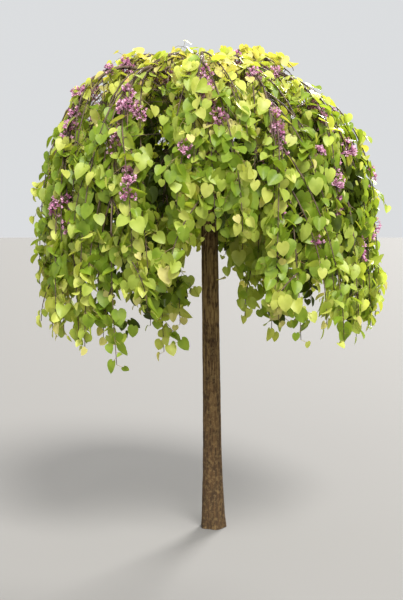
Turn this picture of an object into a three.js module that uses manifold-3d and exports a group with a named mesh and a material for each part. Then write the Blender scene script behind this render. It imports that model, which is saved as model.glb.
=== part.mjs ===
// A weeping redbud, grafted high on a straight clear stem: an umbrella of arching limbs that hang
// to a hem lower at the two sides than at the front and back, in young leaf and late blossom.
//
// Millimetres, +Z up. The origin is the middle of the flat cut at ground level. +X is the tree's
// right side, and the open front of the crown, where the stem shows longest, faces -Y.
// Azimuths are in degrees from +X towards +Y, so the front is 270.

import * as THREE from "three";
import { mergeVertices } from "three/addons/utils/BufferGeometryUtils.js";
import Module from "manifold-3d";

const wasm = await Module();
wasm.setup();

// ---- Driving dimensions -------------------------------------------------------------------

const CLEARANCE = 0.3; // between a limb and what it grows from

const TRUNK = {
  top: 1905, // crest of the graft head
  lean: -0.0125, // sideways drift per millimetre of height
  radius: 40,
  footSpread: 20, // added to the radius at the ground
  footHeight: 260, // over which that spread dies away
  rootLobes: 5,
  lobeDepth: 0.08,
  lobeHeight: 70,
  graftHeight: 1785,
  graftSwelling: 9,
  graftSpan: 75,
  headRound: 60, // height of the rounded crest
  sides: 16,
  rings: 12,
};

// Above the head the crown's middle drifts further sideways than the trunk's lean takes it.
const CROWN_DRIFT = { from: 1900, lean: -0.13 };

// Height of the crown's hem every 30 degrees of azimuth, from +X round by the back.
const HEM = [1000, 930, 1120, 1330, 1130, 950, 1030, 920, 820, 1400, 930, 910];
const HEM_STEP = 30;

// Vertical wall between the inner masses and the rest, and the level floor of the crown masses.
const WALL_RADIUS = 465;
const WALL_MARGIN = 5;
const CROWN_FLOOR = 1935;

const LIMB_GUARD = 2.5; // kept between a leaf or twig and a bare limb
const BOUGH_SIDES = 5;
const STEM = { sides: 3, steps: 6, firstLeaf: 0.04 };
const TWIG = { sides: 3, steps: 3, firstLeaf: 0.16, radius: [4.8, 3.2] };
const LEAF = { length: 132, width: 112, crease: 6, shoulder: 0.4, sink: 1, tries: 10 };
const CLUMP = { length: 90, width: 62 };

// The ranges that the seeded rule draws from. Azimuths and swings are in degrees, a twig's place
// is a share of the gap to the next, and the shares are of a limb's size or of a twig's length.
const LIMB_RANGE = { azimuth: [-3, 3], size: [0.96, 1.04], sway: [-4, 4] };
const TWIG_RANGE = { place: [0.3, 0.7], swing: [0.45, 1.05], reach: [-48, 72] };
const LEAF_RANGE = {
  size: [0.9, 1.1],
  lastSize: [0.75, 0.95],
  lift: [-0.25, 0.25],
  out: [-0.3, 0.3],
  aside: [0.3, 0.9],
  turn: [-0.8, 0.8],
};
const CLUMP_RANGE = { place: [0.25, 0.75] };

// A twig follows its limb for the lead share of its length, turns over at the bend share of the
// way to its tip, and hangs for the hang share of its drop, beside the limb ahead of its root.
const TWIG_FORM = { ahead: 0.35, lead: 0.3, bend: 0.35, hang: 0.4 };
const LEAF_TRAIL = 0.3; // how much a leaf follows its twig
const LAST_LEAF_HANGS = 0.7; // share of a leaf's length that the last one hangs below its shoot

// One row a storey. Limbs leave the head at startRadius and startHeight, point at the rise point,
// turn over below the shoulder point, and end at reach and at the hem's height or tipHeight.
// A limb's own crest is added to the heights of its rise and shoulder. The first boughShare of
// a limb is a bare bough, and the rest is the stem of a mass.
const STOREYS = [
  {
    name: "outer",
    count: 12,
    firstAzimuth: 0,
    startRadius: 20,
    startHeight: 1760,
    stagger: 25,
    rise: [250, 2420],
    shoulder: [800, 2260],
    crest: [-35, -20, 0, 0, 0, -20, -20, 0, 0, 0, -10, -25],
    reach: 745,
    twigReach: [500, 870],
    tipHeight: null,
    boughShare: 0.46,
    boughSteps: 4,
    boughRadius: [12, 7.5],
    stemRadius: [7, 3.4],
    twigs: 4,
    twigFrom: 0.47,
    twigTo: 0.86,
    spread: 11,
    drop: [0.55, 1],
    leafSpacing: 138,
    leafOut: 0.4,
    leafLift: -0.85,
    faceLift: 0.35,
    clumps: 2,
    seed: 11,
  },
  {
    name: "crown",
    count: 6,
    firstAzimuth: 8,
    startRadius: 24,
    startHeight: 1880,
    stagger: 0,
    rise: [60, 2285],
    shoulder: [330, 2310],
    crest: [60, -20, 10, 15, -10, -25],
    reach: 425,
    twigReach: [130, 430],
    tipHeight: 2010,
    boughShare: 0.3,
    boughSteps: 4,
    boughRadius: [9, 6.5],
    stemRadius: [6, 3.4],
    twigs: 4,
    twigFrom: 0.33,
    twigTo: 0.85,
    spread: 24,
    drop: [0.2, 0.9],
    leafSpacing: 68,
    leafOut: 0.8,
    leafLift: -0.2,
    faceLift: 0.6,
    clumps: 1,
    seed: 71,
  },
  {
    name: "inner",
    count: 4,
    firstAzimuth: 235,
    startRadius: 0,
    startHeight: 1630,
    stagger: 0,
    rise: [150, 1940],
    shoulder: [370, 1960],
    crest: [0, 0, 0, 0],
    reach: 340,
    twigReach: [130, 420],
    tipHeight: null,
    boughShare: 0.3,
    boughSteps: 4,
    boughRadius: [9, 6],
    stemRadius: [5.6, 3.4],
    twigs: 2,
    twigFrom: 0.36,
    twigTo: 0.8,
    spread: 20,
    drop: [0.6, 1],
    leafSpacing: 145,
    leafOut: 0.4,
    leafLift: -0.7,
    faceLift: 0.35,
    clumps: 1,
    seed: 131,
  },
];

const BARK = { color: 0x6d4d33, roughness: 0.9, metalness: 0 };
const LIMB_BARK = { color: 0x5a443c, roughness: 0.8, metalness: 0 };
const FOLIAGE = { color: 0x9ab93c, roughness: 0.6, metalness: 0 };

// ---- Helpers ------------------------------------------------------------------------------

const UP = new THREE.Vector3(0, 0, 1);
const { clamp, degToRad, radToDeg, euclideanModulo, lerp, smoothstep } = THREE.MathUtils;

/** A repeatable stream of numbers from 0 to 1, by the mulberry32 rule. */
function stream(seed) {
  let state = seed >>> 0;
  return () => {
    state = (state + 0x6d2b79f5) >>> 0;
    let t = state;
    t = Math.imul(t ^ (t >>> 15), t | 1);
    t ^= t + Math.imul(t ^ (t >>> 7), t | 61);
    return ((t ^ (t >>> 14)) >>> 0) / 4294967296;
  };
}

/** A number between the two ends of a range. */
function pick([low, high], random) {
  return lerp(low, high, random());
}

/** The closed solid of a geometry, with its shared corners merged and its flat triangles left out. */
function solidOf(geometry) {
  const bare = new THREE.BufferGeometry();
  bare.setAttribute("position", geometry.getAttribute("position"));
  bare.setIndex(geometry.index);
  const merged = mergeVertices(bare, 1e-3);
  const corners = merged.index.array;
  const kept = [];
  for (let i = 0; i < corners.length; i += 3) {
    const [a, b, c] = corners.slice(i, i + 3);
    if (a !== b && b !== c && c !== a) kept.push(a, b, c);
  }
  const mesh = new wasm.Mesh({
    numProp: 3,
    vertProperties: merged.getAttribute("position").array,
    triVerts: new Uint32Array(kept),
  });
  return new wasm.Manifold(mesh);
}

/** A three.js geometry with the surface of a solid. */
function geometryOf(solid) {
  const mesh = solid.getMesh();
  const geometry = new THREE.BufferGeometry();
  geometry.setAttribute("position", new THREE.BufferAttribute(mesh.vertProperties, 3));
  geometry.setIndex(new THREE.BufferAttribute(mesh.triVerts, 1));
  geometry.computeVertexNormals();
  return geometry;
}

/** The part of a solid with the largest volume, so that a loose scrap is dropped. */
function largestBody(solid) {
  const bodies = solid.decompose();
  bodies.sort((a, b) => b.volume() - a.volume());
  return bodies[0];
}

/** The sideways place of the tree's middle at a height: the trunk's line, and the drift above it. */
function middleLine(height) {
  return trunkLine(height) + CROWN_DRIFT.lean * Math.max(0, height - CROWN_DRIFT.from);
}

/** The point at an azimuth, a radius from the tree's middle, and a height. */
function pointAt(azimuth, radius, height) {
  const angle = degToRad(azimuth);
  const x = middleLine(height) + radius * Math.cos(angle);
  return new THREE.Vector3(x, radius * Math.sin(angle), height);
}

/** The level unit vector from the tree's middle to a point. */
function outwardAt(point) {
  return new THREE.Vector3(point.x - middleLine(point.z), point.y, 0).normalize();
}

/** How far a point is from the tree's middle, on the level. */
function radiusAt(point) {
  return Math.hypot(point.x - middleLine(point.z), point.y);
}

/** The azimuth of a point about the tree's middle, in degrees. */
function azimuthAt(point) {
  return radToDeg(Math.atan2(point.y, point.x - middleLine(point.z)));
}

/** The hem's height at an azimuth, eased from each named one to the next. */
function hemHeight(azimuth) {
  const place = euclideanModulo(azimuth, 360) / HEM_STEP;
  const index = Math.floor(place);
  const next = HEM[(index + 1) % HEM.length];
  return lerp(HEM[index], next, smoothstep(place - index, 0, 1));
}

/** Where a storey's lowest shoots end at an azimuth, so that their last leaves hang to the hem. */
function tipHeightAt(storey, azimuth) {
  return storey.tipHeight ?? hemHeight(azimuth) + LEAF.length * LAST_LEAF_HANGS;
}

// ---- Trunk --------------------------------------------------------------------------------

/** The trunk's sideways place at a height. */
function trunkLine(height) {
  return TRUNK.lean * height;
}

/** The trunk's radius at a height and an angle: a stem, a lobed root flare and a graft swelling. */
function trunkRadius(height, angle) {
  const flare = TRUNK.footSpread * Math.exp(-height / TRUNK.footHeight);
  const lobes = TRUNK.lobeDepth * Math.exp(-height / TRUNK.lobeHeight);
  const graft = (height - TRUNK.graftHeight) / TRUNK.graftSpan;
  const plain = TRUNK.radius + flare + TRUNK.graftSwelling * Math.exp(-graft * graft);
  const crest = Math.min(1, (TRUNK.top - height) / TRUNK.headRound);
  const round = Math.sqrt(Math.max(0.09, 1 - (1 - crest) ** 2));
  return plain * round * (1 + lobes * Math.cos(TRUNK.rootLobes * angle));
}

/** The trunk as level rings, closer together at the foot and the head, grown by a margin. */
function trunkGeometry(grow) {
  const geometry = new THREE.CylinderGeometry(1, 1, 1, TRUNK.sides, TRUNK.rings);
  const position = geometry.getAttribute("position");
  for (let i = 0; i < position.count; i += 1) {
    const [x, share, y] = [position.getX(i), position.getY(i) + 0.5, -position.getZ(i)];
    const closer = 0.06 * Math.sin(2 * Math.PI * share) + 0.025 * Math.sin(4 * Math.PI * share);
    const height = (share - closer) * TRUNK.top;
    const angle = Math.atan2(y, x);
    const radius = Math.hypot(x, y) < 0.5 ? 0 : trunkRadius(height, angle) + grow;
    const level = share === 1 ? height + grow : height;
    position.setXYZ(
      i,
      trunkLine(height) + radius * Math.cos(angle),
      radius * Math.sin(angle),
      level,
    );
  }
  return geometry;
}

// ---- Limbs --------------------------------------------------------------------------------

/**
 * A tapering tube along a stretch of a curve: a cylinder with its rings laid square to the curve,
 * and the chords between them as its axis.
 */
function tubeAlong(curve, [from, to], radii, sides, steps) {
  const geometry = new THREE.CylinderGeometry(1, 1, 1, sides, steps);
  const axis = new THREE.CurvePath();
  const rings = [];
  const middle = curve.getPoint(0.5);
  let across = new THREE.Vector3(-middle.y, middle.x, 0);
  for (let step = 0; step <= steps; step += 1) {
    const centre = curve.getPoint(lerp(from, to, step / steps));
    const along = curve.getTangent(lerp(from, to, step / steps));
    across = across.clone().addScaledVector(along, -across.dot(along)).normalize();
    if (step > 0) axis.add(new THREE.LineCurve3(rings[step - 1].centre, centre));
    rings.push({ centre, across, beside: along.clone().cross(across) });
  }
  const position = geometry.getAttribute("position");
  for (let i = 0; i < position.count; i += 1) {
    const share = position.getY(i) + 0.5;
    const ring = rings[Math.round(share * steps)];
    const radius = lerp(radii[0], radii[1], share);
    const place = ring.centre
      .clone()
      .addScaledVector(ring.across, -radius * position.getX(i))
      .addScaledVector(ring.beside, radius * position.getZ(i));
    position.setXYZ(i, place.x, place.y, place.z);
  }
  return { geometry, axis };
}

/** The limbs of a storey, each with its curve and the middle azimuth of its space. */
function limbsOf(storey) {
  return Array.from({ length: storey.count }, (_, index) => {
    const seed = storey.seed + index;
    const random = stream(seed);
    const middle = storey.firstAzimuth + (index * 360) / storey.count;
    const azimuth = middle + pick(LIMB_RANGE.azimuth, random);
    const tip = tipHeightAt(storey, azimuth);
    const start = storey.startHeight + (index % 2 ? storey.stagger : -storey.stagger);
    const size = pick(LIMB_RANGE.size, random);
    const sway = pick(LIMB_RANGE.sway, random);
    const [rise, shoulder] = [storey.rise, storey.shoulder];
    const crest = storey.crest[index];
    const curve = new THREE.CubicBezierCurve3(
      pointAt(azimuth, storey.startRadius, start),
      pointAt(azimuth, rise[0] * size, rise[1] + crest),
      pointAt(azimuth + sway, shoulder[0] * size, shoulder[1] + crest),
      pointAt(azimuth, storey.reach * size, tip),
    );
    const name = `${storey.name}_${String(index + 1).padStart(2, "0")}`;
    return { name, storey, seed, middle, azimuth, curve };
  });
}

/** The bare part of a limb from the trunk's line to its mass, grown by a margin. */
function boughSolid({ curve, storey }, grow) {
  const radii = storey.boughRadius.map((radius) => radius + grow);
  const bough = tubeAlong(curve, [0, storey.boughShare], radii, BOUGH_SIDES, storey.boughSteps);
  return solidOf(bough.geometry);
}

// ---- Masses of foliage --------------------------------------------------------------------

/** Whether a point is inside a limb's own space, with a margin to its walls. */
function inSpace({ storey, middle }, point, margin) {
  const radius = radiusAt(point);
  const turn = euclideanModulo(azimuthAt(point) - middle + 180, 360) - 180;
  const toWall = (Math.PI / storey.count - degToRad(Math.abs(turn))) * radius;
  if (toWall < margin) return false;
  if (storey.name === "outer") return radius > WALL_RADIUS + WALL_MARGIN + margin;
  if (radius > WALL_RADIUS - margin) return false;
  if (storey.name === "crown") return point.z > CROWN_FLOOR + margin;
  return point.z < CROWN_FLOOR - margin;
}

/** The solid of a geometry where it keeps to its limb's space and off the obstacles, or null. */
function fitted(limb, geometry, obstacles) {
  const position = geometry.getAttribute("position");
  for (let i = 0; i < position.count; i += 1) {
    if (!inSpace(limb, new THREE.Vector3().fromBufferAttribute(position, i), 1)) return null;
  }
  const solid = solidOf(geometry);
  return obstacles.every((obstacle) => obstacle.intersect(solid).isEmpty()) ? solid : null;
}

/**
 * A leaf: a four-sided solid with its root, its tip and two shoulders as corners, its front
 * creased along the rib from root to tip.
 */
function leafGeometry(root, heading, face, size) {
  const across = heading.clone().cross(face).normalize();
  const front = across.clone().cross(heading);
  const geometry = new THREE.TetrahedronGeometry(1);
  const position = geometry.getAttribute("position");
  for (let i = 0; i < position.count; i += 1) {
    const side = Math.sign(position.getX(i));
    const onRib = position.getZ(i) > 0;
    const down = LEAF.length * size * (onRib ? (1 + side) / 2 : LEAF.shoulder);
    const place = root
      .clone()
      .addScaledVector(heading, down - LEAF.sink)
      .addScaledVector(across, onRib ? 0 : (side * LEAF.width * size) / 2)
      .addScaledVector(front, onRib ? 0 : -LEAF.crease);
    position.setXYZ(i, place.x, place.y, place.z);
  }
  return geometry;
}

/** A clump of blossom: an eight-sided solid drawn out along its stem. */
function clumpGeometry(centre, along) {
  const geometry = new THREE.OctahedronGeometry(1);
  geometry.scale(CLUMP.width / 2, CLUMP.width / 2, CLUMP.length / 2);
  geometry.applyQuaternion(new THREE.Quaternion().setFromUnitVectors(UP, along));
  geometry.translate(centre.x, centre.y, centre.z);
  return geometry;
}

/** The curve of a limb's numbered twig: it leaves sideways, turns over and hangs beside the limb. */
function twigCurve({ storey, curve, seed, azimuth }, number) {
  const random = stream(seed * 100 + number);
  const share = (number + pick(TWIG_RANGE.place, random)) / storey.twigs;
  const from = lerp(storey.twigFrom, storey.twigTo, share);
  const root = curve.getPoint(from);
  const swing = storey.spread * pick(TWIG_RANGE.swing, random);
  const aside = azimuth + (number % 2 ? swing : -swing);
  const beside = radiusAt(curve.getPoint(Math.min(1, from + TWIG_FORM.ahead)));
  const reach = clamp(beside + pick(TWIG_RANGE.reach, random), ...storey.twigReach);
  const floor = tipHeightAt(storey, aside);
  const drop = (root.z - floor) * pick(storey.drop, random);
  const tip = pointAt(aside, reach, root.z - drop);
  const lead = curve.getTangent(from).multiplyScalar(TWIG_FORM.lead * root.distanceTo(tip));
  const first = root.clone().add(lead).lerp(pointAt(aside, reach, root.z), TWIG_FORM.bend);
  const last = tip.clone().addScaledVector(UP, TWIG_FORM.hang * drop);
  return new THREE.CubicBezierCurve3(root, first, last, tip);
}

/** The direction and facing of a leaf on a twig, to one side of it. */
function leafPose(storey, root, along, side, random) {
  const outward = outwardAt(root);
  const lateral = new THREE.Vector3(-outward.y, outward.x, 0);
  const heading = along
    .clone()
    .multiplyScalar(LEAF_TRAIL)
    .addScaledVector(UP, storey.leafLift + pick(LEAF_RANGE.lift, random))
    .addScaledVector(outward, storey.leafOut + pick(LEAF_RANGE.out, random))
    .addScaledVector(lateral, side * pick(LEAF_RANGE.aside, random))
    .normalize();
  const face = outward
    .addScaledVector(UP, storey.faceLift)
    .addScaledVector(lateral, pick(LEAF_RANGE.turn, random));
  return { heading, face };
}

/** The leaves along a twig from a share of its length, each skipped where it finds no room. */
function leavesAlong(limb, axis, from, obstacles, random) {
  const grown = [];
  const count = Math.round((axis.getLength() * (1 - from)) / limb.storey.leafSpacing);
  for (let k = 0; k <= count; k += 1) {
    const share = lerp(from, 1, k / count) - 1e-3;
    const root = axis.getPoint(share);
    const along = axis.getTangent(share);
    const size = pick(k === count ? LEAF_RANGE.lastSize : LEAF_RANGE.size, random);
    for (let attempt = 0; attempt < LEAF.tries; attempt += 1) {
      const side = (k + attempt) % 2 ? 1 : -1;
      const { heading, face } = leafPose(limb.storey, root, along, side, random);
      const geometry = leafGeometry(root, heading, face, size);
      const solid = fitted(limb, geometry, [...obstacles, ...grown]);
      if (solid) {
        grown.push(solid);
        break;
      }
    }
  }
  return grown;
}

/** One mass of foliage: its stem, the twigs that branch from it, their blossom and their leaves. */
function massSolid(limb, bareLimbs) {
  const { storey, curve, seed } = limb;
  const random = stream(seed * 100 + storey.twigs);
  const start = storey.boughShare + CLEARANCE / curve.getLength();
  const stem = tubeAlong(curve, [start, 1], storey.stemRadius, STEM.sides, STEM.steps);
  const shoots = [{ axis: stem.axis, firstLeaf: STEM.firstLeaf, solid: solidOf(stem.geometry) }];
  for (let number = 0; number < storey.twigs; number += 1) {
    const twig = tubeAlong(twigCurve(limb, number), [0, 1], TWIG.radius, TWIG.sides, TWIG.steps);
    const solid = fitted(limb, twig.geometry, [bareLimbs]);
    if (solid) shoots.push({ axis: twig.axis, firstLeaf: TWIG.firstLeaf, solid });
  }
  const grown = [];
  for (let k = 0; k < storey.clumps; k += 1) {
    const share = (k + pick(CLUMP_RANGE.place, random)) / storey.clumps;
    const clump = clumpGeometry(stem.axis.getPoint(share), stem.axis.getTangent(share));
    const solid = fitted(limb, clump, [bareLimbs]);
    if (solid) grown.push(solid);
  }
  for (const shoot of shoots) {
    const others = shoots.filter((other) => other !== shoot).map((other) => other.solid);
    const obstacles = [bareLimbs, ...others, ...grown];
    grown.push(...leavesAlong(limb, shoot.axis, shoot.firstLeaf, obstacles, random));
  }
  return largestBody(wasm.Manifold.union([...shoots.map((shoot) => shoot.solid), ...grown]));
}

// ---- The tree -----------------------------------------------------------------------------

/** A named mesh of a solid. */
function nodeOf(name, solid, finish) {
  const mesh = new THREE.Mesh(geometryOf(solid), new THREE.MeshStandardMaterial(finish));
  mesh.name = name;
  return mesh;
}

const tree = new THREE.Group();
const limbs = STOREYS.flatMap(limbsOf);
const trunkSpace = solidOf(trunkGeometry(CLEARANCE));
const guards = limbs.map((limb) => boughSolid(limb, LIMB_GUARD));
const bareLimbs = wasm.Manifold.union([solidOf(trunkGeometry(LIMB_GUARD)), ...guards]);

tree.add(nodeOf("trunk", solidOf(trunkGeometry(0)), BARK));
for (const limb of limbs) {
  const bough = largestBody(boughSolid(limb, 0).subtract(trunkSpace));
  tree.add(nodeOf(`bough_${limb.name}`, bough, LIMB_BARK));
}
for (const limb of limbs) {
  tree.add(nodeOf(`foliage_${limb.name}`, massSolid(limb, bareLimbs), FOLIAGE));
}

export default tree;
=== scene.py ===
"""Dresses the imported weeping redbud: bark, limbs, twigs, leaves and blossom round its frame.

Sizes are millimetres and angles degrees, as in the part's own source, and Surface.build turns
millimetres to metres. The limbs and their first twigs come from the same seeded rule and the same
numbers as the solids, so they grow where the solids are, and finer twigs grow on from them.
"""

import logging
import math
from dataclasses import dataclass, field
from enum import Enum
from typing import ClassVar

import bpy
import numpy as np
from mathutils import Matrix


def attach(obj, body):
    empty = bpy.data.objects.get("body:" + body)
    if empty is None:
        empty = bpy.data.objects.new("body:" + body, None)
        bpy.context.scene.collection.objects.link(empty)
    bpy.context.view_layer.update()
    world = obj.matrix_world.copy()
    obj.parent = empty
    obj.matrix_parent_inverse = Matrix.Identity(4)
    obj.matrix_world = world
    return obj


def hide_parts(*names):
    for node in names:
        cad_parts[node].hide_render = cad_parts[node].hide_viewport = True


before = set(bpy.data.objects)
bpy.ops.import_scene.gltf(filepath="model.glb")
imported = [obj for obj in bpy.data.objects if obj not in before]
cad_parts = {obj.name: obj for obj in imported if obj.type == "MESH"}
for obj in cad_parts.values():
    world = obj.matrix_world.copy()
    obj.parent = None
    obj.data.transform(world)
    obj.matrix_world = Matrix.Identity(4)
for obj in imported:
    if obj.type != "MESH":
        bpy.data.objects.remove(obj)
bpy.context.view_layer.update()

Array = np.ndarray
Span = tuple[float, float]
Place = tuple[float, float, float]
Petal = tuple[Place, Place, Place, Place]
Rng = np.random.Generator
Piece = bpy.types.Object
Material = bpy.types.Material
Graph = bpy.types.NodeTree
Socket = bpy.types.NodeSocket
LOG = logging.getLogger("redbud")
MM = 0.001
UP = np.array([0.0, 0.0, 1.0])
TURN = 2 * math.pi
# The random seeds of the branchwork, the blossom and the leaves.
WOOD_SEED, BLOSSOM_SEED, LEAF_SEED = 41, 59, 43
# How far a path's first sideways direction rises: by a share of its way out, and by a least length.
FIRST_SLANT, FIRST_RISE = 0.31, 20


# ---- Small tools ----


def linear(colour: str) -> tuple[float, float, float, float]:
    """Turns an sRGB hex colour to linear light.

    Args:
        colour: two hex digits each of red, green and blue, such as "8fa832".

    Returns:
        Linear red, green and blue, and a full alpha.
    """
    parts = np.array([int(colour[i : i + 2], 16) for i in (0, 2, 4)]) / 255
    light = np.where(parts <= 0.04045, parts / 12.92, ((parts + 0.055) / 1.055) ** 2.4)
    return (*light.tolist(), 1.0)


def per(size: float) -> float:
    """The texture scale at which a pattern repeats about every size millimetres."""
    return 1 / (size * MM)


def mix(low: Array | float, high: Array | float, share: Array | float) -> Array | float:
    """Goes from low to high by a share from 0 to 1."""
    return low + (high - low) * share


def unit(vectors: Array) -> Array:
    """Vectors along the last axis, each made one long."""
    length = np.linalg.norm(vectors, axis=-1, keepdims=True)
    return vectors / np.maximum(length, 1e-9)


def square(vectors: Array, axis: Array) -> Array:
    """Unit vectors square to an axis: what each has left without its part along that axis."""
    return unit(vectors - np.sum(vectors * axis, axis=-1, keepdims=True) * axis)


def ease(value: Array) -> Array:
    """The smooth step 3x^2 - 2x^3 of a value held between 0 and 1."""
    held = np.clip(value, 0, 1)
    return held * held * (3 - 2 * held)


def rising(value: Array, start: float, span: float) -> Array:
    """Eases from 0 at a start to 1 one span further on."""
    return ease((value - start) / span)


def drawn(rng: Rng, chances: Array, count: int, again: bool = True) -> Array:
    """Draws count row numbers, each as likely as its own chance, and more than once if again."""
    return rng.choice(len(chances), count, replace=again, p=chances / chances.sum())


def off_trunk(points: Array, room: float) -> Array:
    """Which points are more than room away from the trunk's foot, on the level."""
    return np.hypot(points[..., 0], points[..., 1]) > room


def linked(name: str, data: bpy.types.ID) -> Piece:
    """Makes an object and puts it in the scene.

    Args:
        name: the name it gets.
        data: its mesh, lamp or camera.

    Returns:
        The object.
    """
    made = bpy.data.objects.new(name, data)
    bpy.context.scene.collection.objects.link(made)
    return made


def emptied(owner: bpy.types.ID) -> tuple[bpy.types.ID, Graph]:
    """Switches on a node tree and empties it.

    Args:
        owner: the material or world that it belongs to.

    Returns:
        The owner, and its node tree.
    """
    owner.use_nodes = True
    owner.node_tree.nodes.clear()
    return owner, owner.node_tree


def add(
    tree: Graph, kind: str, output: str | int | None, settings: dict[str | int, object]
) -> Socket | None:
    """Adds a shader node with its settings and links.

    Args:
        tree: the material's or world's node tree.
        kind: the node's type name, without the "ShaderNode" that starts it.
        output: the output that is wanted, by its name or number, if the node has one.
        settings: a value, or the socket that feeds it, for each input by its name or number, and
            values by property name. "stops" is a colour ramp's list of (place, sRGB hex).

    Returns:
        The wanted output socket.
    """
    node = tree.nodes.new("ShaderNode" + kind)
    for name, value in settings.items():
        if name == "stops":
            ramp = node.color_ramp
            while len(ramp.elements) < len(value):
                ramp.elements.new(1.0)
            for element, (place, colour) in zip(ramp.elements, value):
                element.position = place
                element.color = linear(colour)
        elif isinstance(value, Socket):
            tree.links.new(value, node.inputs[name])
        elif isinstance(name, int) or name in node.inputs:
            node.inputs[name].default_value = value
        else:
            setattr(node, name, value)
    return None if output is None else node.outputs[output]


# ---- Surfaces ----


@dataclass
class Surface:
    """The points and faces of a shape, kept as arrays until it becomes an object.

    points is (n, 3) in millimetres, each array of faces is (m, corners) and anticlockwise seen
    from outside, and values holds one number a point under each name.
    """

    points: Array
    faces: list[Array]
    values: dict[str, Array] = field(default_factory=dict)

    def build(self, name: str, material: Material) -> Piece:
        """Makes a smooth-shaded object at the origin, with its place in its mesh.

        Args:
            name: the piece's name.
            material: its finish.

        Returns:
            The object, linked to the scene.
        """
        mesh = bpy.data.meshes.new(name)
        corners = np.concatenate([rows.ravel() for rows in self.faces]).astype(np.int32)
        counts = np.concatenate([np.full(len(rows), rows.shape[1]) for rows in self.faces])
        starts = np.concatenate([[0], np.cumsum(counts)[:-1]]).astype(np.int32)
        mesh.vertices.add(len(self.points))
        mesh.vertices.foreach_set("co", (self.points * MM).astype(np.float32).ravel())
        mesh.loops.add(len(corners))
        mesh.loops.foreach_set("vertex_index", corners)
        mesh.polygons.add(len(starts))
        mesh.polygons.foreach_set("loop_start", starts)
        mesh.update(calc_edges=True)
        mesh.validate()
        mesh.polygons.foreach_set("use_smooth", np.ones(len(mesh.polygons), bool))
        for value_name, numbers in self.values.items():
            attribute = mesh.attributes.new(value_name, "FLOAT", "POINT")
            attribute.data.foreach_set("value", numbers.astype(np.float32))
        mesh.materials.append(material)
        return linked(name, mesh)

    def dress(
        self, name: str, finish: "BarkFinish | SoftFinish", solids: list[str], slot: str
    ) -> Piece:
        """Makes a piece that rides on the tree and stands for some of its solids.

        Args:
            name: the piece's name.
            finish: what it is made of.
            solids: the nodes that it replaces.
            slot: not used.

        Returns:
            The piece.
        """
        piece = self.build(name, finish.material())
        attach(piece, "root")
        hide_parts(*solids)
        return piece


def chord_runs(points: Array) -> Array:
    """The length run up to each point of many paths, (n, k), by the chords between their points."""
    steps = np.linalg.norm(np.diff(points, axis=1), axis=-1)
    return np.concatenate([np.zeros((len(steps), 1)), np.cumsum(steps, axis=1)], axis=1)


def carried_frames(centres: Array) -> tuple[Array, Array]:
    """Two directions square to each of many paths, at each of their points.

    A path's own direction is the slope between neighbours. A sideways direction starts round the
    tree and a little upward, and is carried on by taking away its part along the path.

    Args:
        centres: the paths' points, (n, k, 3).

    Returns:
        across and beside, each (n, k, 3).
    """
    along = unit(np.gradient(centres, axis=1))
    middle = centres[:, centres.shape[1] // 2]
    rise = FIRST_SLANT * np.abs(middle[:, 0]) + FIRST_RISE
    carried = unit(np.stack([-middle[:, 1], middle[:, 0], rise], axis=-1))
    across = np.empty_like(along)
    for k in range(centres.shape[1]):
        carried = square(carried, along[:, k])
        across[:, k] = carried
    return across, np.cross(along, across)


def tube_faces(count: int, rings: int, sides: int) -> list[Array]:
    """The faces of closed tubes.

    Their points are the rings of one tube after another, then each tube's start pole, then each
    one's end pole.

    Args:
        count: how many tubes there are.
        rings: how many rings each has.
        sides: how many sides a ring has.

    Returns:
        The walls' quads and the ends' triangles.
    """
    tube, ring, side = np.meshgrid(*map(np.arange, (count, rings - 1, sides)), indexing="ij")
    here = (tube * rings + ring) * sides + side
    beyond = (tube * rings + ring) * sides + (side + 1) % sides
    quads = np.stack([here, beyond, beyond + sides, here + sides], axis=-1).reshape(-1, 4)
    tube, side = np.meshgrid(np.arange(count), np.arange(sides), indexing="ij")
    after = (side + 1) % sides
    first = tube * rings * sides
    last = first + (rings - 1) * sides
    pole = count * rings * sides + tube
    foot = np.stack([pole, first + after, first + side], axis=-1)
    head = np.stack([pole + count, last + side, last + after], axis=-1)
    return [quads, np.concatenate([foot, head]).reshape(-1, 3)]


def tubes(centres: Array, radii: Array, sides: int) -> Surface:
    """Closed round tubes carried along many paths at once.

    A ring's points are centre + radius * (cos a * across + sin a * beside) for equal steps of the
    angle a, and a point on the path closes each end.

    Args:
        centres: the paths' points, (n, k, 3).
        radii: the radius at each point, (n, k), or at each side of it, (n, k, sides).
        sides: how many sides a ring has.

    Returns:
        The tubes as one surface.
    """
    across, beside = carried_frames(centres)
    angles = (np.arange(sides) * TURN / sides)[:, None]
    spokes = np.cos(angles) * across[:, :, None] + np.sin(angles) * beside[:, :, None]
    reach = radii if radii.ndim == 3 else radii[:, :, None]
    walls = centres[:, :, None] + reach[..., None] * spokes
    points = np.concatenate([walls.reshape(-1, 3), centres[:, 0], centres[:, -1]])
    return Surface(points, tube_faces(*centres.shape[:2], sides))


def repeated(template_faces: list[Array], size: int, count: int) -> list[Array]:
    """The faces of a shape of size points, repeated for count copies laid one after another."""
    starts = (np.arange(count) * size)[:, None, None]
    return [(rows[None] + starts).reshape(-1, rows.shape[1]) for rows in template_faces]


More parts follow.
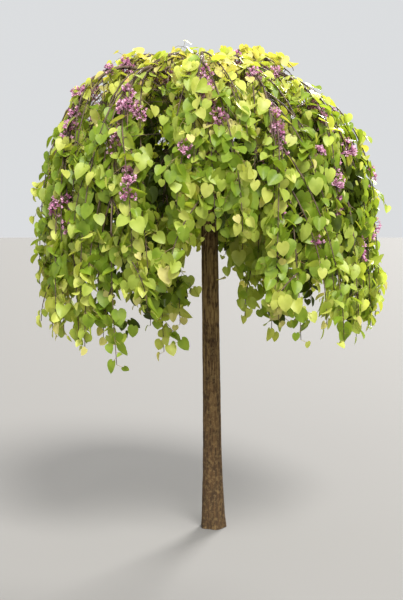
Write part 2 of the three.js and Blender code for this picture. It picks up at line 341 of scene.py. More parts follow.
@dataclass(frozen=True)
class StemNoise:
    """Smooth noise from 0 to 1 that closes on itself round a stem.

    A lattice of random values has its columns round the stem and one row every length along it.
    Each value is eased between its four lattice corners, and the first column follows the last.
    """

    columns: int
    length: float
    seed: int

    def at(self, turn: Array, along: Array, shift: Array | float = 0.0) -> Array:
        """The noise at places on the stem.

        Args:
            turn: place round the stem, 1 for a whole turn.
            along: place along it in millimetres, never under 0.
            shift: by how many rows the lattice is moved.

        Returns:
            One value for each place.
        """
        across, ahead = np.broadcast_arrays(turn * self.columns, along / self.length + shift)
        rows = int(np.max(ahead)) + 2
        lattice = np.random.default_rng(self.seed).random((rows, self.columns))
        row, column = np.floor(ahead).astype(int), np.floor(across).astype(int)
        left, right = column % self.columns, (column + 1) % self.columns
        share = ease(across - column)
        low = mix(lattice[row, left], lattice[row, right], share)
        high = mix(lattice[row + 1, left], lattice[row + 1, right], share)
        return mix(low, high, ease(ahead - row))


# ---- The growth rule ----


class Stream:
    """The source's repeatable numbers from 0 to 1, by the mulberry32 rule."""

    MASK = 0xFFFFFFFF

    def __init__(self, seed: int) -> None:
        """Starts the stream at a seed."""
        self.state = seed & self.MASK

    def number(self) -> float:
        """Steps the stream on.

        Returns:
            The next number.
        """
        self.state = (self.state + 0x6D2B79F5) & self.MASK
        word = self.state
        word = ((word ^ (word >> 15)) * (word | 1)) & self.MASK
        word ^= (word + ((word ^ (word >> 7)) * (word | 61))) & self.MASK
        return (word ^ (word >> 14)) / (self.MASK + 1)

    def pick(self, span: Span) -> float:
        """A number between the two ends of a span."""
        return mix(span[0], span[1], self.number())


def bezier(corners: Array, shares: Array) -> Array:
    """Points of cubic Bezier curves: corners weighed by (1-t)^3, 3t(1-t)^2, 3t^2(1-t) and t^3.

    Args:
        corners: (n, 4, 3).
        shares: places along each curve, (n, k), or the same ones along all, (k,).

    Returns:
        The points, (n, k, 3).
    """
    t = shares
    weights = np.stack([(1 - t) ** 3, 3 * t * (1 - t) ** 2, 3 * t * t * (1 - t), t**3], axis=-1)
    return weights @ corners


def bezier_slope(corners: Array, shares: Array) -> Array:
    """Unit slopes of such curves: steps between corners weighed by (1-t)^2, 2t(1-t) and t^2.

    Args:
        corners: as for bezier.
        shares: as for bezier.

    Returns:
        The slopes, (n, k, 3).
    """
    t = shares
    weights = np.stack([(1 - t) ** 2, 2 * t * (1 - t), t * t], axis=-1)
    return unit(3 * weights @ np.diff(corners, axis=-2))


@dataclass(frozen=True)
class Twigs:
    """How many twigs a limb bears, over which span of it, how widely, and how far they drop."""

    count: int
    span: Span
    spread: float
    drop: Span


@dataclass(frozen=True)
class Storey:
    """One ring of limbs: where they start, rise, turn over and end, and how their twigs grow.

    Points are (radius from the tree's middle, height). Limbs leave the head at start, by turns a
    stagger lower and higher, point at rise, turn over below shoulder and end at reach and
    tip_height, or at the hem where that is None. Each limb's crest lifts its rise and shoulder.
    The first bough_share of a limb is bare, and bough_radius is for that stretch's two ends. Its
    own twigs are the solids', the fine ones grow between them, and twig_reach bounds both.
    """

    name: str
    count: int
    first_azimuth: float
    start: Span
    stagger: float
    rise: Span
    shoulder: Span
    crest: tuple[float, ...]
    reach: float
    twig_reach: Span
    tip_height: float | None
    bough_share: float
    bough_radius: Span
    seed: int
    own: Twigs
    fine: Twigs


OUTER = Storey(
    name="outer", count=12, first_azimuth=0, start=(20, 1760), stagger=25, rise=(250, 2420),
    shoulder=(800, 2260), crest=(-35, -20, 0, 0, 0, -20, -20, 0, 0, 0, -10, -25), reach=745,
    twig_reach=(500, 870), tip_height=None, bough_share=0.46, bough_radius=(12, 7.5), seed=11,
    own=Twigs(count=4, span=(0.47, 0.86), spread=11, drop=(0.55, 1)),
    fine=Twigs(count=11, span=(0.24, 0.97), spread=14.5, drop=(0.35, 1.02)),
)
CROWN = Storey(
    name="crown", count=6, first_azimuth=8, start=(24, 1880), stagger=0, rise=(60, 2285),
    shoulder=(330, 2310), crest=(60, -20, 10, 15, -10, -25), reach=425, twig_reach=(130, 430),
    tip_height=2010, bough_share=0.3, bough_radius=(9, 6.5), seed=71,
    own=Twigs(count=4, span=(0.33, 0.85), spread=24, drop=(0.2, 0.9)),
    fine=Twigs(count=20, span=(0.12, 0.98), spread=34, drop=(0.1, 2.4)),
)
INNER = Storey(
    name="inner", count=4, first_azimuth=235, start=(0, 1630), stagger=0, rise=(150, 1940),
    shoulder=(370, 1960), crest=(0, 0, 0, 0), reach=340, twig_reach=(130, 420), tip_height=None,
    bough_share=0.3, bough_radius=(9, 6), seed=131,
    own=Twigs(count=2, span=(0.36, 0.8), spread=20, drop=(0.6, 1)),
    fine=Twigs(count=6, span=(0.3, 0.95), spread=42, drop=(0.4, 1)),
)


@dataclass(frozen=True)
class Limb:
    """One limb of a storey along its curve, with the seed and azimuth that its twigs grow by."""

    name: str
    storey: Storey
    seed: int
    azimuth: float
    corners: Array

    def at(self, share: float) -> Array:
        """The point at a share of the limb."""
        return bezier(self.corners, np.array([share]))[0]

    def slope(self, share: float) -> Array:
        """The unit direction at a share of the limb."""
        return bezier_slope(self.corners, np.array([share]))[0]


@dataclass(frozen=True)
class Growth:
    """The rule by which limbs and twigs grow, with the same numbers as the solids.

    A twig follows its limb for the lead share of its length, turns over at the bend share of the
    way to its tip, and hangs for the hang share of its drop, beside the limb ahead of its root.
    The hem has a height every hem_step degrees, and last_leaf is how far a shoot ends above it.
    twig_seeds is how far apart the first seeds of neighbouring limbs' twigs are.
    """

    lean: float = -0.0125
    drift_from: float = 1900
    drift_lean: float = -0.13
    hem: tuple[float, ...] = (1000, 930, 1120, 1330, 1130, 950, 1030, 920, 820, 1400, 930, 910)
    hem_step: float = 30
    last_leaf: float = 92.4
    twig_seeds: int = 100
    limb_azimuth: Span = (-3, 3)
    limb_size: Span = (0.96, 1.04)
    limb_sway: Span = (-4, 4)
    twig_place: Span = (0.3, 0.7)
    twig_swing: Span = (0.45, 1.05)
    twig_reach: Span = (-48, 72)
    ahead: float = 0.35
    lead: float = 0.3
    bend: float = 0.35
    hang: float = 0.4

    def middle(self, height: Array | float) -> Array | float:
        """The sideways place of the tree's middle: the trunk's line, then the crown's drift."""
        return self.lean * height + self.drift_lean * np.maximum(0, height - self.drift_from)

    def point(self, azimuth: float, radius: float, height: float) -> Array:
        """Finds a place round the tree.

        Args:
            azimuth: degrees anticlockwise from +X.
            radius: how far from the tree's middle, on the level.
            height: how far above the ground.

        Returns:
            The point.
        """
        angle = math.radians(azimuth)
        x = self.middle(height) + radius * math.cos(angle)
        return np.array([x, radius * math.sin(angle), height])

    def radius_of(self, point: Array) -> float:
        """How far a point is from the tree's middle, on the level."""
        return math.hypot(point[0] - self.middle(point[2]), point[1])

    def tip_height(self, storey: Storey, azimuth: float) -> float:
        """Where a storey's lowest shoots end, so that their last leaves hang to the hem.

        Args:
            storey: the ring of limbs, whose own tip height holds where it has one.
            azimuth: the way that the shoots grow; the hem is eased from each named height to the
                next.

        Returns:
            The height.
        """
        if storey.tip_height is not None:
            return storey.tip_height
        place = (azimuth % 360) / self.hem_step
        index = math.floor(place)
        following = self.hem[(index + 1) % len(self.hem)]
        return float(mix(self.hem[index], following, ease(place - index))) + self.last_leaf

    def limb(self, storey: Storey, index: int) -> Limb:
        """Grows one limb.

        Args:
            storey: its ring.
            index: its number there, from 0.

        Returns:
            The limb.
        """
        seed = storey.seed + index
        stream = Stream(seed)
        middle = storey.first_azimuth + index * 360 / storey.count
        azimuth = middle + stream.pick(self.limb_azimuth)
        tip = self.tip_height(storey, azimuth)
        start = storey.start[1] + (storey.stagger if index % 2 else -storey.stagger)
        size = stream.pick(self.limb_size)
        sway = stream.pick(self.limb_sway)
        crest = storey.crest[index]
        rise, shoulder = storey.rise, storey.shoulder
        corners = [
            self.point(azimuth, storey.start[0], start),
            self.point(azimuth, rise[0] * size, rise[1] + crest),
            self.point(azimuth + sway, shoulder[0] * size, shoulder[1] + crest),
            self.point(azimuth, storey.reach * size, tip),
        ]
        return Limb(f"{storey.name}_{index + 1:02d}", storey, seed, azimuth, np.array(corners))

    def twig(self, limb: Limb, number: int) -> Array:
        """Grows one twig.

        Args:
            limb: the limb that bears it.
            number: its number there; the first few are the solids' own twigs.

        Returns:
            The four corners of its curve.
        """
        storey = limb.storey
        own = number < storey.own.count
        rule = storey.own if own else storey.fine
        order = number if own else number - storey.own.count
        stream = Stream(limb.seed * self.twig_seeds + number)
        start = mix(*rule.span, (order + stream.pick(self.twig_place)) / rule.count)
        root = limb.at(start)
        swing = rule.spread * stream.pick(self.twig_swing)
        aside = limb.azimuth + (swing if number % 2 else -swing)
        beside = self.radius_of(limb.at(min(1, start + self.ahead)))
        reach = float(np.clip(beside + stream.pick(self.twig_reach), *storey.twig_reach))
        floor = self.tip_height(storey, aside)
        drop = (root[2] - floor) * stream.pick(rule.drop)
        tip = self.point(aside, reach, root[2] - drop)
        lead = limb.slope(start) * (self.lead * np.linalg.norm(tip - root))
        first = mix(root + lead, self.point(aside, reach, root[2]), self.bend)
        return np.array([root, first, tip + UP * self.hang * drop, tip])


GROWTH = Growth()


def around(points: Array) -> tuple[Array, Array]:
    """The level directions outward from the tree's middle, and sideways from that.

    Args:
        points: (n, 3).

    Returns:
        outward and sideways at each point, each (n, 3).
    """
    level = points.copy()
    level[:, 0] -= GROWTH.middle(points[:, 2])
    level[:, 2] = 0
    outward = unit(level)
    return outward, np.stack([-outward[:, 1], outward[:, 0], outward[:, 2]], axis=-1)


class Rows:
    """Arrays of one row a thing, kept side by side."""

    def chosen(self, which: Array) -> "Rows":
        """The same arrays with only the rows that are chosen."""
        return type(self)(*(rows[which] for rows in vars(self).values()))


@dataclass
class Shoots(Rows):
    """Many twigs at once.

    corners is (n, 4, 3), radii (n, 2) at root and tip, first (n,) the share of each at which its
    leaves begin, and inside (n,) is 1 for the shaded shoots under the crown.
    """

    corners: Array
    radii: Array
    first: Array
    inside: Array

    KNOTS: ClassVar[Array] = np.linspace(0, 1, 17)

    @classmethod
    def joined(cls, *parts: "Shoots") -> "Shoots":
        """Puts several sets of twigs into one."""
        return cls(*map(np.concatenate, zip(*(vars(part).values() for part in parts))))

    def runs(self) -> Array:
        """The length run up to each knot of each twig, (n, knots)."""
        return chord_runs(bezier(self.corners, self.KNOTS))

    def at(self, shoot: Array, share: Array) -> Array:
        """The point at a share of each numbered shoot."""
        return bezier(self.corners[shoot], share[:, None])[:, 0]

    def along(self, shoot: Array, share: Array) -> Array:
        """The unit direction at a share of each numbered shoot."""
        return bezier_slope(self.corners[shoot], share[:, None])[:, 0]

    def spaced(self, shoot: Array, place: Array) -> Array:
        """The curve's share at places spaced by length along the leafy stretch of a twig.

        The twigs' runs are laid end to end, each after a gap, so that one lookup serves them all.

        Args:
            shoot: the number of each place's twig.
            place: from 0 where its leaves begin to 1 at its tip.

        Returns:
            The share of the curve, from 0 to 1, for each place.
        """
        runs = self.runs()
        starts = np.arange(len(runs)) * (runs.max() + 1)
        laid = (runs + starts[:, None]).ravel()
        knot = self.first * (len(self.KNOTS) - 1)
        below = np.minimum(knot.astype(int), len(self.KNOTS) - 2)
        rows = np.arange(len(runs))
        bare = mix(runs[rows, below], runs[rows, below + 1], knot - below)
        wanted = mix(bare[shoot], runs[shoot, -1], place) + starts[shoot]
        return np.interp(wanted, laid, np.tile(self.KNOTS, len(runs)))

    def surface(self, steps: int, sides: int) -> Surface:
        """Makes tapering tubes of the twigs.

        Args:
            steps: how many rings each has.
            sides: how many sides a ring has.

        Returns:
            The tubes.
        """
        shares = np.linspace(0, 1, steps)
        radii = mix(self.radii[:, :1], self.radii[:, 1:], shares)
        return tubes(bezier(self.corners, shares), radii, sides)


@dataclass
class Nodes(Rows):
    """The places along shoots where something grows, as arrays of one row each.

    left counts the nodes still to come on the same shoot, side is 1 or -1 by turns, and spray
    numbers the group of neighbours that a node is in.
    """

    points: Array
    along: Array
    shoot: Array
    left: Array
    side: Array
    spray: Array

    SHIFT: ClassVar[Span] = (0.25, 0.75)
    MOST_SPRAYS: ClassVar[int] = 1000

    @classmethod
    def on(cls, shoots: Shoots, spacing: float, spray: int, rng: Rng) -> "Nodes":
        """Spaces nodes evenly along each shoot, from its first share to its tip.

        Args:
            shoots: the shoots.
            spacing: how far apart the nodes are.
            spray: how many neighbours make one spray.
            rng: the random numbers that shift each node a little.

        Returns:
            The nodes of all the shoots.
        """
        leafy = shoots.runs()[:, -1] * (1 - shoots.first)
        counts = np.maximum(2, np.round(leafy / spacing)).astype(int)
        shoot = np.repeat(np.arange(len(counts)), counts)
        order = np.arange(len(shoot)) - np.repeat(np.cumsum(counts) - counts, counts)
        left = counts[shoot] - 1 - order
        place = (order + rng.uniform(*cls.SHIFT, len(shoot))) / counts[shoot]
        share = shoots.spaced(shoot, np.where(left == 0, 1.0, place))
        side = np.where(order % 2, 1.0, -1.0)
        number = shoot * cls.MOST_SPRAYS + left // spray
        return cls(shoots.at(shoot, share), shoots.along(shoot, share), shoot, left, side, number)


@dataclass(frozen=True)
class Dome:
    """The crown's skin: an ellipsoid about its centre, and a straight drop from lowest over it."""

    centre: float = 1500
    halves: Place = (820, 820, 760)
    lowest: float = 60

    def from_centre(self, points: Array) -> Array:
        """Each point's place from the dome's centre, with the low ones raised to lowest over it.

        Args:
            points: (n, 3).

        Returns:
            The places, (n, 3).
        """
        level = points - self.centre * UP
        level[:, 2] = np.maximum(level[:, 2], self.lowest)
        return level

    def outward(self, points: Array) -> Array:
        """The skin's outward normal: the place from the centre over the half sizes squared."""
        return unit(self.from_centre(points) / np.square(self.halves))

    def nearness(self, points: Array) -> Array:
        """How near the skin each point is: 0 at the centre and 1 on the skin."""
        return np.linalg.norm(self.from_centre(points) / self.halves, axis=1)


DOME = Dome()


@dataclass
class Openings:
    """Round spaces, each by its middle and radius, where few leaves hang in front of something."""

    middles: Array
    radii: Array
    kept_share: float = 0.12
    back: float = -0.3

    def clear(self, leaves: Array, rng: Rng) -> Array:
        """Finds the leaves that stay.

        A leaf is in an opening that holds its middle, unless it lies behind the opening's back.

        Args:
            leaves: the leaves' middles.
            rng: the random numbers that keep a few of the leaves in the openings.

        Returns:
            Whether each leaf stays.
        """
        opened = np.zeros(len(leaves), bool)
        outward, _ = around(self.middles)
        for middle, radius, front in zip(self.middles, self.radii, outward):
            apart = leaves - middle
            near = np.linalg.norm(apart, axis=1) < radius
            opened |= near & (apart @ front > self.back * radius)
        return ~opened | (rng.random(len(leaves)) < self.kept_share)


# ---- Finishes ----


@dataclass(frozen=True)
class BarkFinish:
    """Rough living bark, dull and dry, darker where its relief is low and paler where it is high;
    where the relief follows the bark's furrows and ridges, that is painted shade and highlight.

    The piece's own relief attribute, from 0 in a furrow to 1 on a ridge, places those tones, and
    the grain shifts it by up to half its swing. Weathered patches fade in between their edges.
    """

    name: str
    furrow: str
    body: str
    ridge: str
    patch: str
    patch_size: float
    patch_share: float
    grain_size: float
    grain_depth: float
    roughness: float
    grain_swing: float = 0.4
    tone_places: Place = (0.08, 0.45, 0.95)
    patch_edges: Span = (0.48, 0.72)

    def material(self) -> Material:
        """Makes the material: a ramp by relief, larger weathered patches, and a corky grain.

        Returns:
            The material.
        """
        made, tree = emptied(bpy.data.materials.new(self.name))
        place = add(tree, "TexCoord", "Object", {})
        relief = add(tree, "Attribute", "Fac", {"attribute_name": "relief"})
        fine = {"Vector": place, "Scale": per(self.grain_size), "Detail": 4.0, "Roughness": 0.65}
        grain = add(tree, "TexNoise", "Fac", fine)
        swing = {0: grain, 1: self.grain_swing, 2: -0.5 * self.grain_swing}
        level = add(tree, "Math", 0, {"operation": "MULTIPLY_ADD", **swing})
        depth = add(tree, "Math", 0, {"operation": "ADD", 0: relief, 1: level})
        # The ramp by relief is painted shade in the furrows and a painted highlight on the ridges.
        stops = list(zip(self.tone_places, (self.furrow, self.body, self.ridge)))
        tone = add(tree, "ValToRGB", "Color", {"Fac": depth, "stops": stops})
        coarse = {"Vector": place, "Scale": per(self.patch_size), "Detail": 3.0, "Roughness": 0.6}
        patches = add(tree, "TexNoise", "Fac", coarse)
        low, high = self.patch_edges
        span = {"From Min": low, "From Max": high, "To Max": self.patch_share}
        worn = add(tree, "MapRange", "Result", {"Value": patches, **span})
        tones = {"Fac": worn, "Color1": tone, "Color2": linear(self.patch)}
        colour = add(tree, "MixRGB", "Color", tones)
        raised = {"Height": grain, "Strength": 0.8, "Distance": self.grain_depth * MM}
        bump = add(tree, "Bump", "Normal", raised)
        skin = {"Base Color": colour, "Normal": bump, "Roughness": self.roughness}
        dull = add(tree, "BsdfPrincipled", "BSDF", {**skin, "Specular IOR Level": 0.25})
        add(tree, "OutputMaterial", None, {"Surface": dull})
        return made


@dataclass(frozen=True)
class SoftFinish:
    """A thin living skin, such as a leaf or petal: satin on its face, and lit through from behind.

    Two near tones drift into each other between the edges of slow noise, and a fine net of raised
    veins breaks the gloss.
    """

    name: str
    light: str
    dark: str
    glow: str
    glow_share: float
    drift_size: float = 60
    vein_size: float = 2.0
    vein_depth: float = 0.05
    roughness: float = 0.5
    gloss: float = 0.35
    drift_edges: Span = (0.35, 0.65)

    def material(self) -> Material:
        """Makes the material: a satin face over a share of light let through from behind.

        Returns:
            The material.
        """
        made, tree = emptied(bpy.data.materials.new(self.name))
        place = add(tree, "TexCoord", "Object", {})
        slow = {"Vector": place, "Scale": per(self.drift_size), "Detail": 2.0, "Roughness": 0.5}
        drift = add(tree, "TexNoise", "Fac", slow)
        low, high = self.drift_edges
        share = add(tree, "MapRange", "Result", {"Value": drift, "From Min": low, "From Max": high})
        tones = {"Fac": share, "Color1": linear(self.light), "Color2": linear(self.dark)}
        colour = add(tree, "MixRGB", "Color", tones)
        net = {"feature": "DISTANCE_TO_EDGE", "Vector": place, "Scale": per(self.vein_size)}
        veins = add(tree, "TexVoronoi", "Distance", net)
        raised = {"Height": veins, "Strength": 0.5, "Distance": self.vein_depth * MM}
        bump = add(tree, "Bump", "Normal", raised)
        skin = {"Base Color": colour, "Normal": bump, "Roughness": self.roughness}
        face = add(tree, "BsdfPrincipled", "BSDF", {**skin, "Specular IOR Level": self.gloss})
        glow = {"Color": linear(self.glow), "Normal": bump}
        through = add(tree, "BsdfTranslucent", "BSDF", glow)
        both = add(tree, "MixShader", "Shader", {"Fac": self.glow_share, 1: face, 2: through})
        add(tree, "OutputMaterial", None, {"Surface": both})
        return made


@dataclass(frozen=True)
class LeafSkin(SoftFinish):
    """A leaf's thin waxy skin: satin in front, and it lets yellow-green light through."""

    glow_share: float = 0.42
    drift_size: float = 34
    vein_size: float = 5.0
    vein_depth: float = 0.35
    roughness: float = 0.44


@dataclass(frozen=True)
class PetalSkin(SoftFinish):
    """A petal's soft matt skin: flushed unevenly, it glows a little against the light."""

    drift_size: float = 9
    vein_size: float = 2.5
    vein_depth: float = 0.1
    roughness: float = 0.62


# Redbud trunk bark: grey-brown cork in fine upright ridges, split by furrows, and never shiny; the
# furrows are darkened with painted shade and the ridges lightened with a painted highlight.
TRUNK_BARK = BarkFinish(
    "furrowed_redbud_bark", furrow="362819", body="543f26", ridge="887048", patch="867048",
    patch_size=16, patch_share=0.45, grain_size=4.0, grain_depth=1.1, roughness=0.92,
)
# Bark of the limbs: thin, smooth, grey-brown and dully shining, dotted with pale breathing pores,
# with painted shade in the dips of its slow swells and a painted highlight on their crests.
LIMB_BARK = BarkFinish(
    "smooth_limb_bark", furrow="261d15", body="4f4133", ridge="7a6a5c", patch="83766a",
    patch_size=22, patch_share=0.4, grain_size=2.4, grain_depth=0.25, roughness=0.7,
)
# Last year's twigs: dark purple-brown and satin.
TWIG_BARK = BarkFinish(
    "dark_twig_bark", furrow="231a15", body="46372d", ridge="6b594b", patch="665848",
    patch_size=14, patch_share=0.5, grain_size=1.8, grain_depth=0.15, roughness=0.6,
)
# Short side shoots: satin wood that drifts between brown and green.
SPUR_SKIN = SoftFinish("young_spur_skin", "7c7044", "5c4438", "8c8048", 0.05, roughness=0.55)
# Leafstalks: smooth and soft, yellow-green with a bronze flush.
STALK_SKIN = SoftFinish("leafstalk_skin", "a8a850", "94724a", "c0bc58", 0.15)


class LeafTone(Enum):
    """The leaf tones of a redbud in spring, from the shaded middle to the newest shoots."""

    # Redbud leaves: the shade tone, dark, nearly dull and letting little light through, is painted
    # shade for leaves deep in the crown; the paler tones are partly painted light, high up and on
    # the crown's lit skin, and partly the young leaves near the tips; the rest are satin and lit
    # through, and the newest tips are flushed with bronze.
    SHADE = LeafSkin("shade_leaf_skin", "38460e", "293406", "6a7c1a", 0.18, gloss=0.12)
    BODY = LeafSkin("body_leaf_skin", "7f942e", "668022", "aec434")
    FRESH = LeafSkin("fresh_leaf_skin", "a4b24e", "8fa03e", "c4d03e")
    LIME = LeafSkin("lime_leaf_skin", "bcc162", "a8af50", "d0d646")
    YELLOW = LeafSkin("yellow_leaf_skin", "ccc57e", "bab368", "dcd44e")
    BRONZE = LeafSkin("bronze_leaf_skin", "d0b674", "ba9a5e", "d8c06c")


class PetalTone(Enum):
    """Open florets, deeper half-open ones, and the wine-dark cups and buds behind them."""

    # Redbud petals: soft and matt, pale lilac-pink when open, and deeper while they aren't.
    OPEN = PetalSkin("open_petal_skin", "e0b4cc", "c892b0", "e4b0cc", 0.3)
    ROSE = PetalSkin("rose_petal_skin", "b4749a", "985a80", "c4789c", 0.25)
    CUP = PetalSkin("cup_petal_skin", "6e3650", "582a3e", "8c4660", 0.1)


# ---- Trunk ----

# The relief where a stem's end is closed.
POLE_RELIEF = 0.5


@dataclass(frozen=True)
class Trunk:
    """The stem with its root flare and graft head, and the furrows of its bark as real relief."""

    top: float = 1905
    radius: float = 40
    foot_spread: float = 20
    foot_height: float = 260
    root_lobes: int = 5
    lobe_depth: float = 0.08
    lobe_height: float = 70
    graft_height: float = 1785
    graft_swelling: float = 9
    graft_span: float = 75
    head_round: float = 60
    head_least: float = 0.09
    sides: int = 144
    rings: int = 500
    ring_shifts: Span = (0.06, 0.025)
    wander: StemNoise = StemNoise(9, 150, 3)
    furrows: StemNoise = StemNoise(30, 85, 5)
    furrow_wander: float = 0.03
    furrow_edge: float = 0.5
    furrow_weight: float = 0.6
    cracks: StemNoise = StemNoise(76, 34, 7)
    crack_wander: float = 0.05
    crack_edge: float = 0.6
    crack_weight: float = 0.4
    depth: float = 1.5
    foot_depth: float = 1.0
    skin_relief: float = 0.75
    swells: StemNoise = StemNoise(5, 170, 11)
    swell: float = 2.2
    knobs: StemNoise = StemNoise(8, 38, 13)
    knob_level: float = 0.35
    knob_depth: float = 5
    knob_rise: Span = (1700, 60)
    smooth_top: float = 12
    # Painted shade at the foot: the relief that places the bark's tones is scaled to the first of
    # these at the ground, and eases back to full by the height after it.
    foot_relief: float = 0.3
    dry_height: float = 1300

    def plain_radius(self, height: Array, angle: Array) -> Array:
        """The solid's own radius.

        A stem, plus a flare that dies away upward as e^(-height / foot_height), plus a bell-shaped
        graft swelling, rounded over at the crest, and lobed near the ground by the cosine of
        root_lobes times the angle.

        Args:
            height: height above the ground.
            angle: angle round the stem, in radians.

        Returns:
            The radius at each place.
        """
        flare = self.foot_spread * np.exp(-height / self.foot_height)
        lobes = self.lobe_depth * np.exp(-height / self.lobe_height)
        graft = (height - self.graft_height) / self.graft_span
        plain = self.radius + flare + self.graft_swelling * np.exp(-graft * graft)
        crest = np.minimum(1, (self.top - height) / self.head_round)
        rounding = np.sqrt(np.maximum(self.head_least, 1 - (1 - crest) ** 2))
        return plain * rounding * (1 + lobes * np.cos(self.root_lobes * angle))

    def relief(self, height: Array, turn: Array) -> Array:
        """From 0 in a furrow to 1 on a ridge.

        Furrows run where stretched noise round the stem crosses its middle value, and finer
        cracks where shorter noise does, with both lines let wander sideways by slower noise.

        Args:
            height: height above the ground.
            turn: place round the stem, 1 for a whole turn.

        Returns:
            The relief at each place.
        """
        wander = self.wander.at(turn, height) - 0.5
        broad = np.abs(2 * self.furrows.at(turn + self.furrow_wander * wander, height) - 1)
        narrow = np.abs(2 * self.cracks.at(turn + self.crack_wander * wander, height) - 1)
        furrows = self.furrow_weight * ease(broad / self.furrow_edge)
        return furrows + self.crack_weight * ease(narrow / self.crack_edge)

    def surface(self) -> Surface:
        """The bark: rings up the leaning stem, each side pushed out by its ridge and knobs.

        Two sine waves set the rings closer near the ends. The relief value falls off towards the
        foot, so that the finish turns darker there, as painted shade.

        Returns:
            The bark, with its relief.
        """
        share = np.linspace(0, 1, self.rings)[:, None]
        slow, fast = self.ring_shifts
        closer = slow * np.sin(TURN * share) + fast * np.sin(2 * TURN * share)
        height = (share - closer) * self.top
        angle = (np.arange(self.sides) * TURN / self.sides)[None]
        height, angle = np.broadcast_arrays(height, angle)
        turn = angle / TURN
        relief = self.relief(height, turn)
        depth = self.depth + self.foot_depth * np.exp(-height / self.foot_height)
        knobby = rising(height, *self.knob_rise)
        pushed = (relief - self.skin_relief) * depth
        pushed += self.swell * (self.swells.at(turn, height) - 0.5)
        pushed += self.knob_depth * (self.knobs.at(turn, height) - self.knob_level) * knobby
        crest = ease((self.top - height) / self.smooth_top)
        radius = self.plain_radius(height, angle) + pushed * crest
        centre = GROWTH.lean * height
        walls = np.stack([centre + radius * np.cos(angle), radius * np.sin(angle), height], axis=-1)
        poles = np.array([[0, 0, 0], [GROWTH.lean * self.top, 0, self.top]])
        points = np.concatenate([walls.reshape(-1, 3), poles])
        # Painted shade: the relief that places the bark's tones falls off towards the foot.
        painted_foot_shade = mix(self.foot_relief, 1.0, ease(height / self.dry_height))
        values = np.append((relief * painted_foot_shade).ravel(), [POLE_RELIEF] * 2)
        return Surface(points, tube_faces(1, self.rings, self.sides), {"relief": values})

    def build(self) -> list[Piece]:
        """Makes the trunk's piece, which stands for the trunk's solid."""
        return [self.surface().dress("trunk_bark", TRUNK_BARK, ["trunk"], "bark")]


# ---- Limbs and twigs ----


@dataclass
class Limbs:
    """The boughs and the stems that go on from them, each one limb from the head to its tip."""

    limbs: list[Limb]
    steps: int = 64
    sides: int = 12
    tip_radius: float = 1.5
    collar: float = 6
    collar_length: float = 30
    bark: StemNoise = StemNoise(4, 45, 17)
    rows_apart: float = 40
    unevenness: float = 0.16
    bare_span: Span = (0.12, 0.72)
    bare_places: int = 18
    opening: Span = (26, 44)
    opening_step: float = 0.382
    opening_ways: tuple[Span, ...] = ((0.8, 0.2), (2.1, 0.2), (3.4, 0), (0.4, 1.0))
    opening_kept: float = 0.1

    def openings(self) -> Openings:
        """Spaces outward of and over the arching part of each limb, so that it can be seen.

        Each lies at the limb's line plus its radius times an outward and an upward share.

        Returns:
            The spaces.
        """
        outer = [limb for limb in self.limbs if limb.storey is not INNER]
        shares = np.linspace(*self.bare_span, self.bare_places)
        line = bezier(np.stack([limb.corners for limb in outer]), shares).reshape(-1, 3)
        outward, _ = around(line)
        sizes = mix(*self.opening, np.arange(len(outer)) * self.opening_step % 1)
        radii = np.repeat(sizes, self.bare_places)
        ways = [out * outward + up * UP for out, up in self.opening_ways]
        middles = np.concatenate([line + radii[:, None] * way for way in ways])
        return Openings(middles, np.tile(radii, len(ways)), self.opening_kept)

    def surface(self, corners: Array) -> Surface:
        """Tapering tubes with a collar at the head, and bark that swells and dips along them.

        The radius goes in two straight tapers, along the bare bough and along the stem, plus a
        collar that dies away as e^(-length / collar_length), times slow noise round the limb.

        Args:
            corners: the four corners of each limb's curve.

        Returns:
            The limbs, with their relief.
        """
        shares = np.linspace(0, 1, self.steps)
        centres = bezier(corners, shares)
        run = chord_runs(centres)
        bare = np.array([[limb.storey.bough_share] for limb in self.limbs])
        thick = np.array([limb.storey.bough_radius for limb in self.limbs])
        on_bough = mix(thick[:, :1], thick[:, 1:], shares / bare)
        on_stem = mix(thick[:, 1:], self.tip_radius, (shares - bare) / (1 - bare))
        tapered = np.where(shares < bare, on_bough, on_stem)
        radii = tapered + self.collar * np.exp(-run / self.collar_length)
        turn = np.arange(self.sides) / self.sides
        shift = np.arange(len(self.limbs))[:, None, None] * self.rows_apart
        relief = self.bark.at(turn, run[:, :, None], shift)
        uneven = 1 + self.unevenness * (relief - 0.5)
        surface = tubes(centres, radii[:, :, None] * uneven, self.sides)
        # The same noise places the bark's tones: painted shade in the dips and a painted highlight
        # on the swells.
        surface.values["relief"] = np.append(relief.ravel(), [POLE_RELIEF] * 2 * len(self.limbs))
        return surface

    def build(self, corners: Array) -> list[Piece]:
        """Makes the limbs along the given curves, which stand for all the boughs' solids."""
        solids = [f"bough_{limb.name}" for limb in self.limbs]
        return [self.surface(corners).dress("limbs", LIMB_BARK, solids, "young_bark")]


def nodding(
    root: Array,
    heading: Array,
    length: Array,
    course: tuple[Span, ...],
    bends: tuple[Array | float, ...] = (0, 0, 0, 0),
) -> Array:
    """The corners of side shoots that run along their headings and nod by and by.

    Args:
        root: where each shoot starts, (n, 3).
        heading: its unit direction, (n, 3).
        length: how long it is, (n, 1).
        course: how far along each corner lies, and how far down, as shares of the length.
        bends: how far each corner is moved besides.

    Returns:
        The corners, (n, 4, 3).
    """
    laid = [
        root + share * length * heading + bend - drop * length * UP
        for (share, drop), bend in zip(course, bends)
    ]
    return np.stack(laid, axis=1)


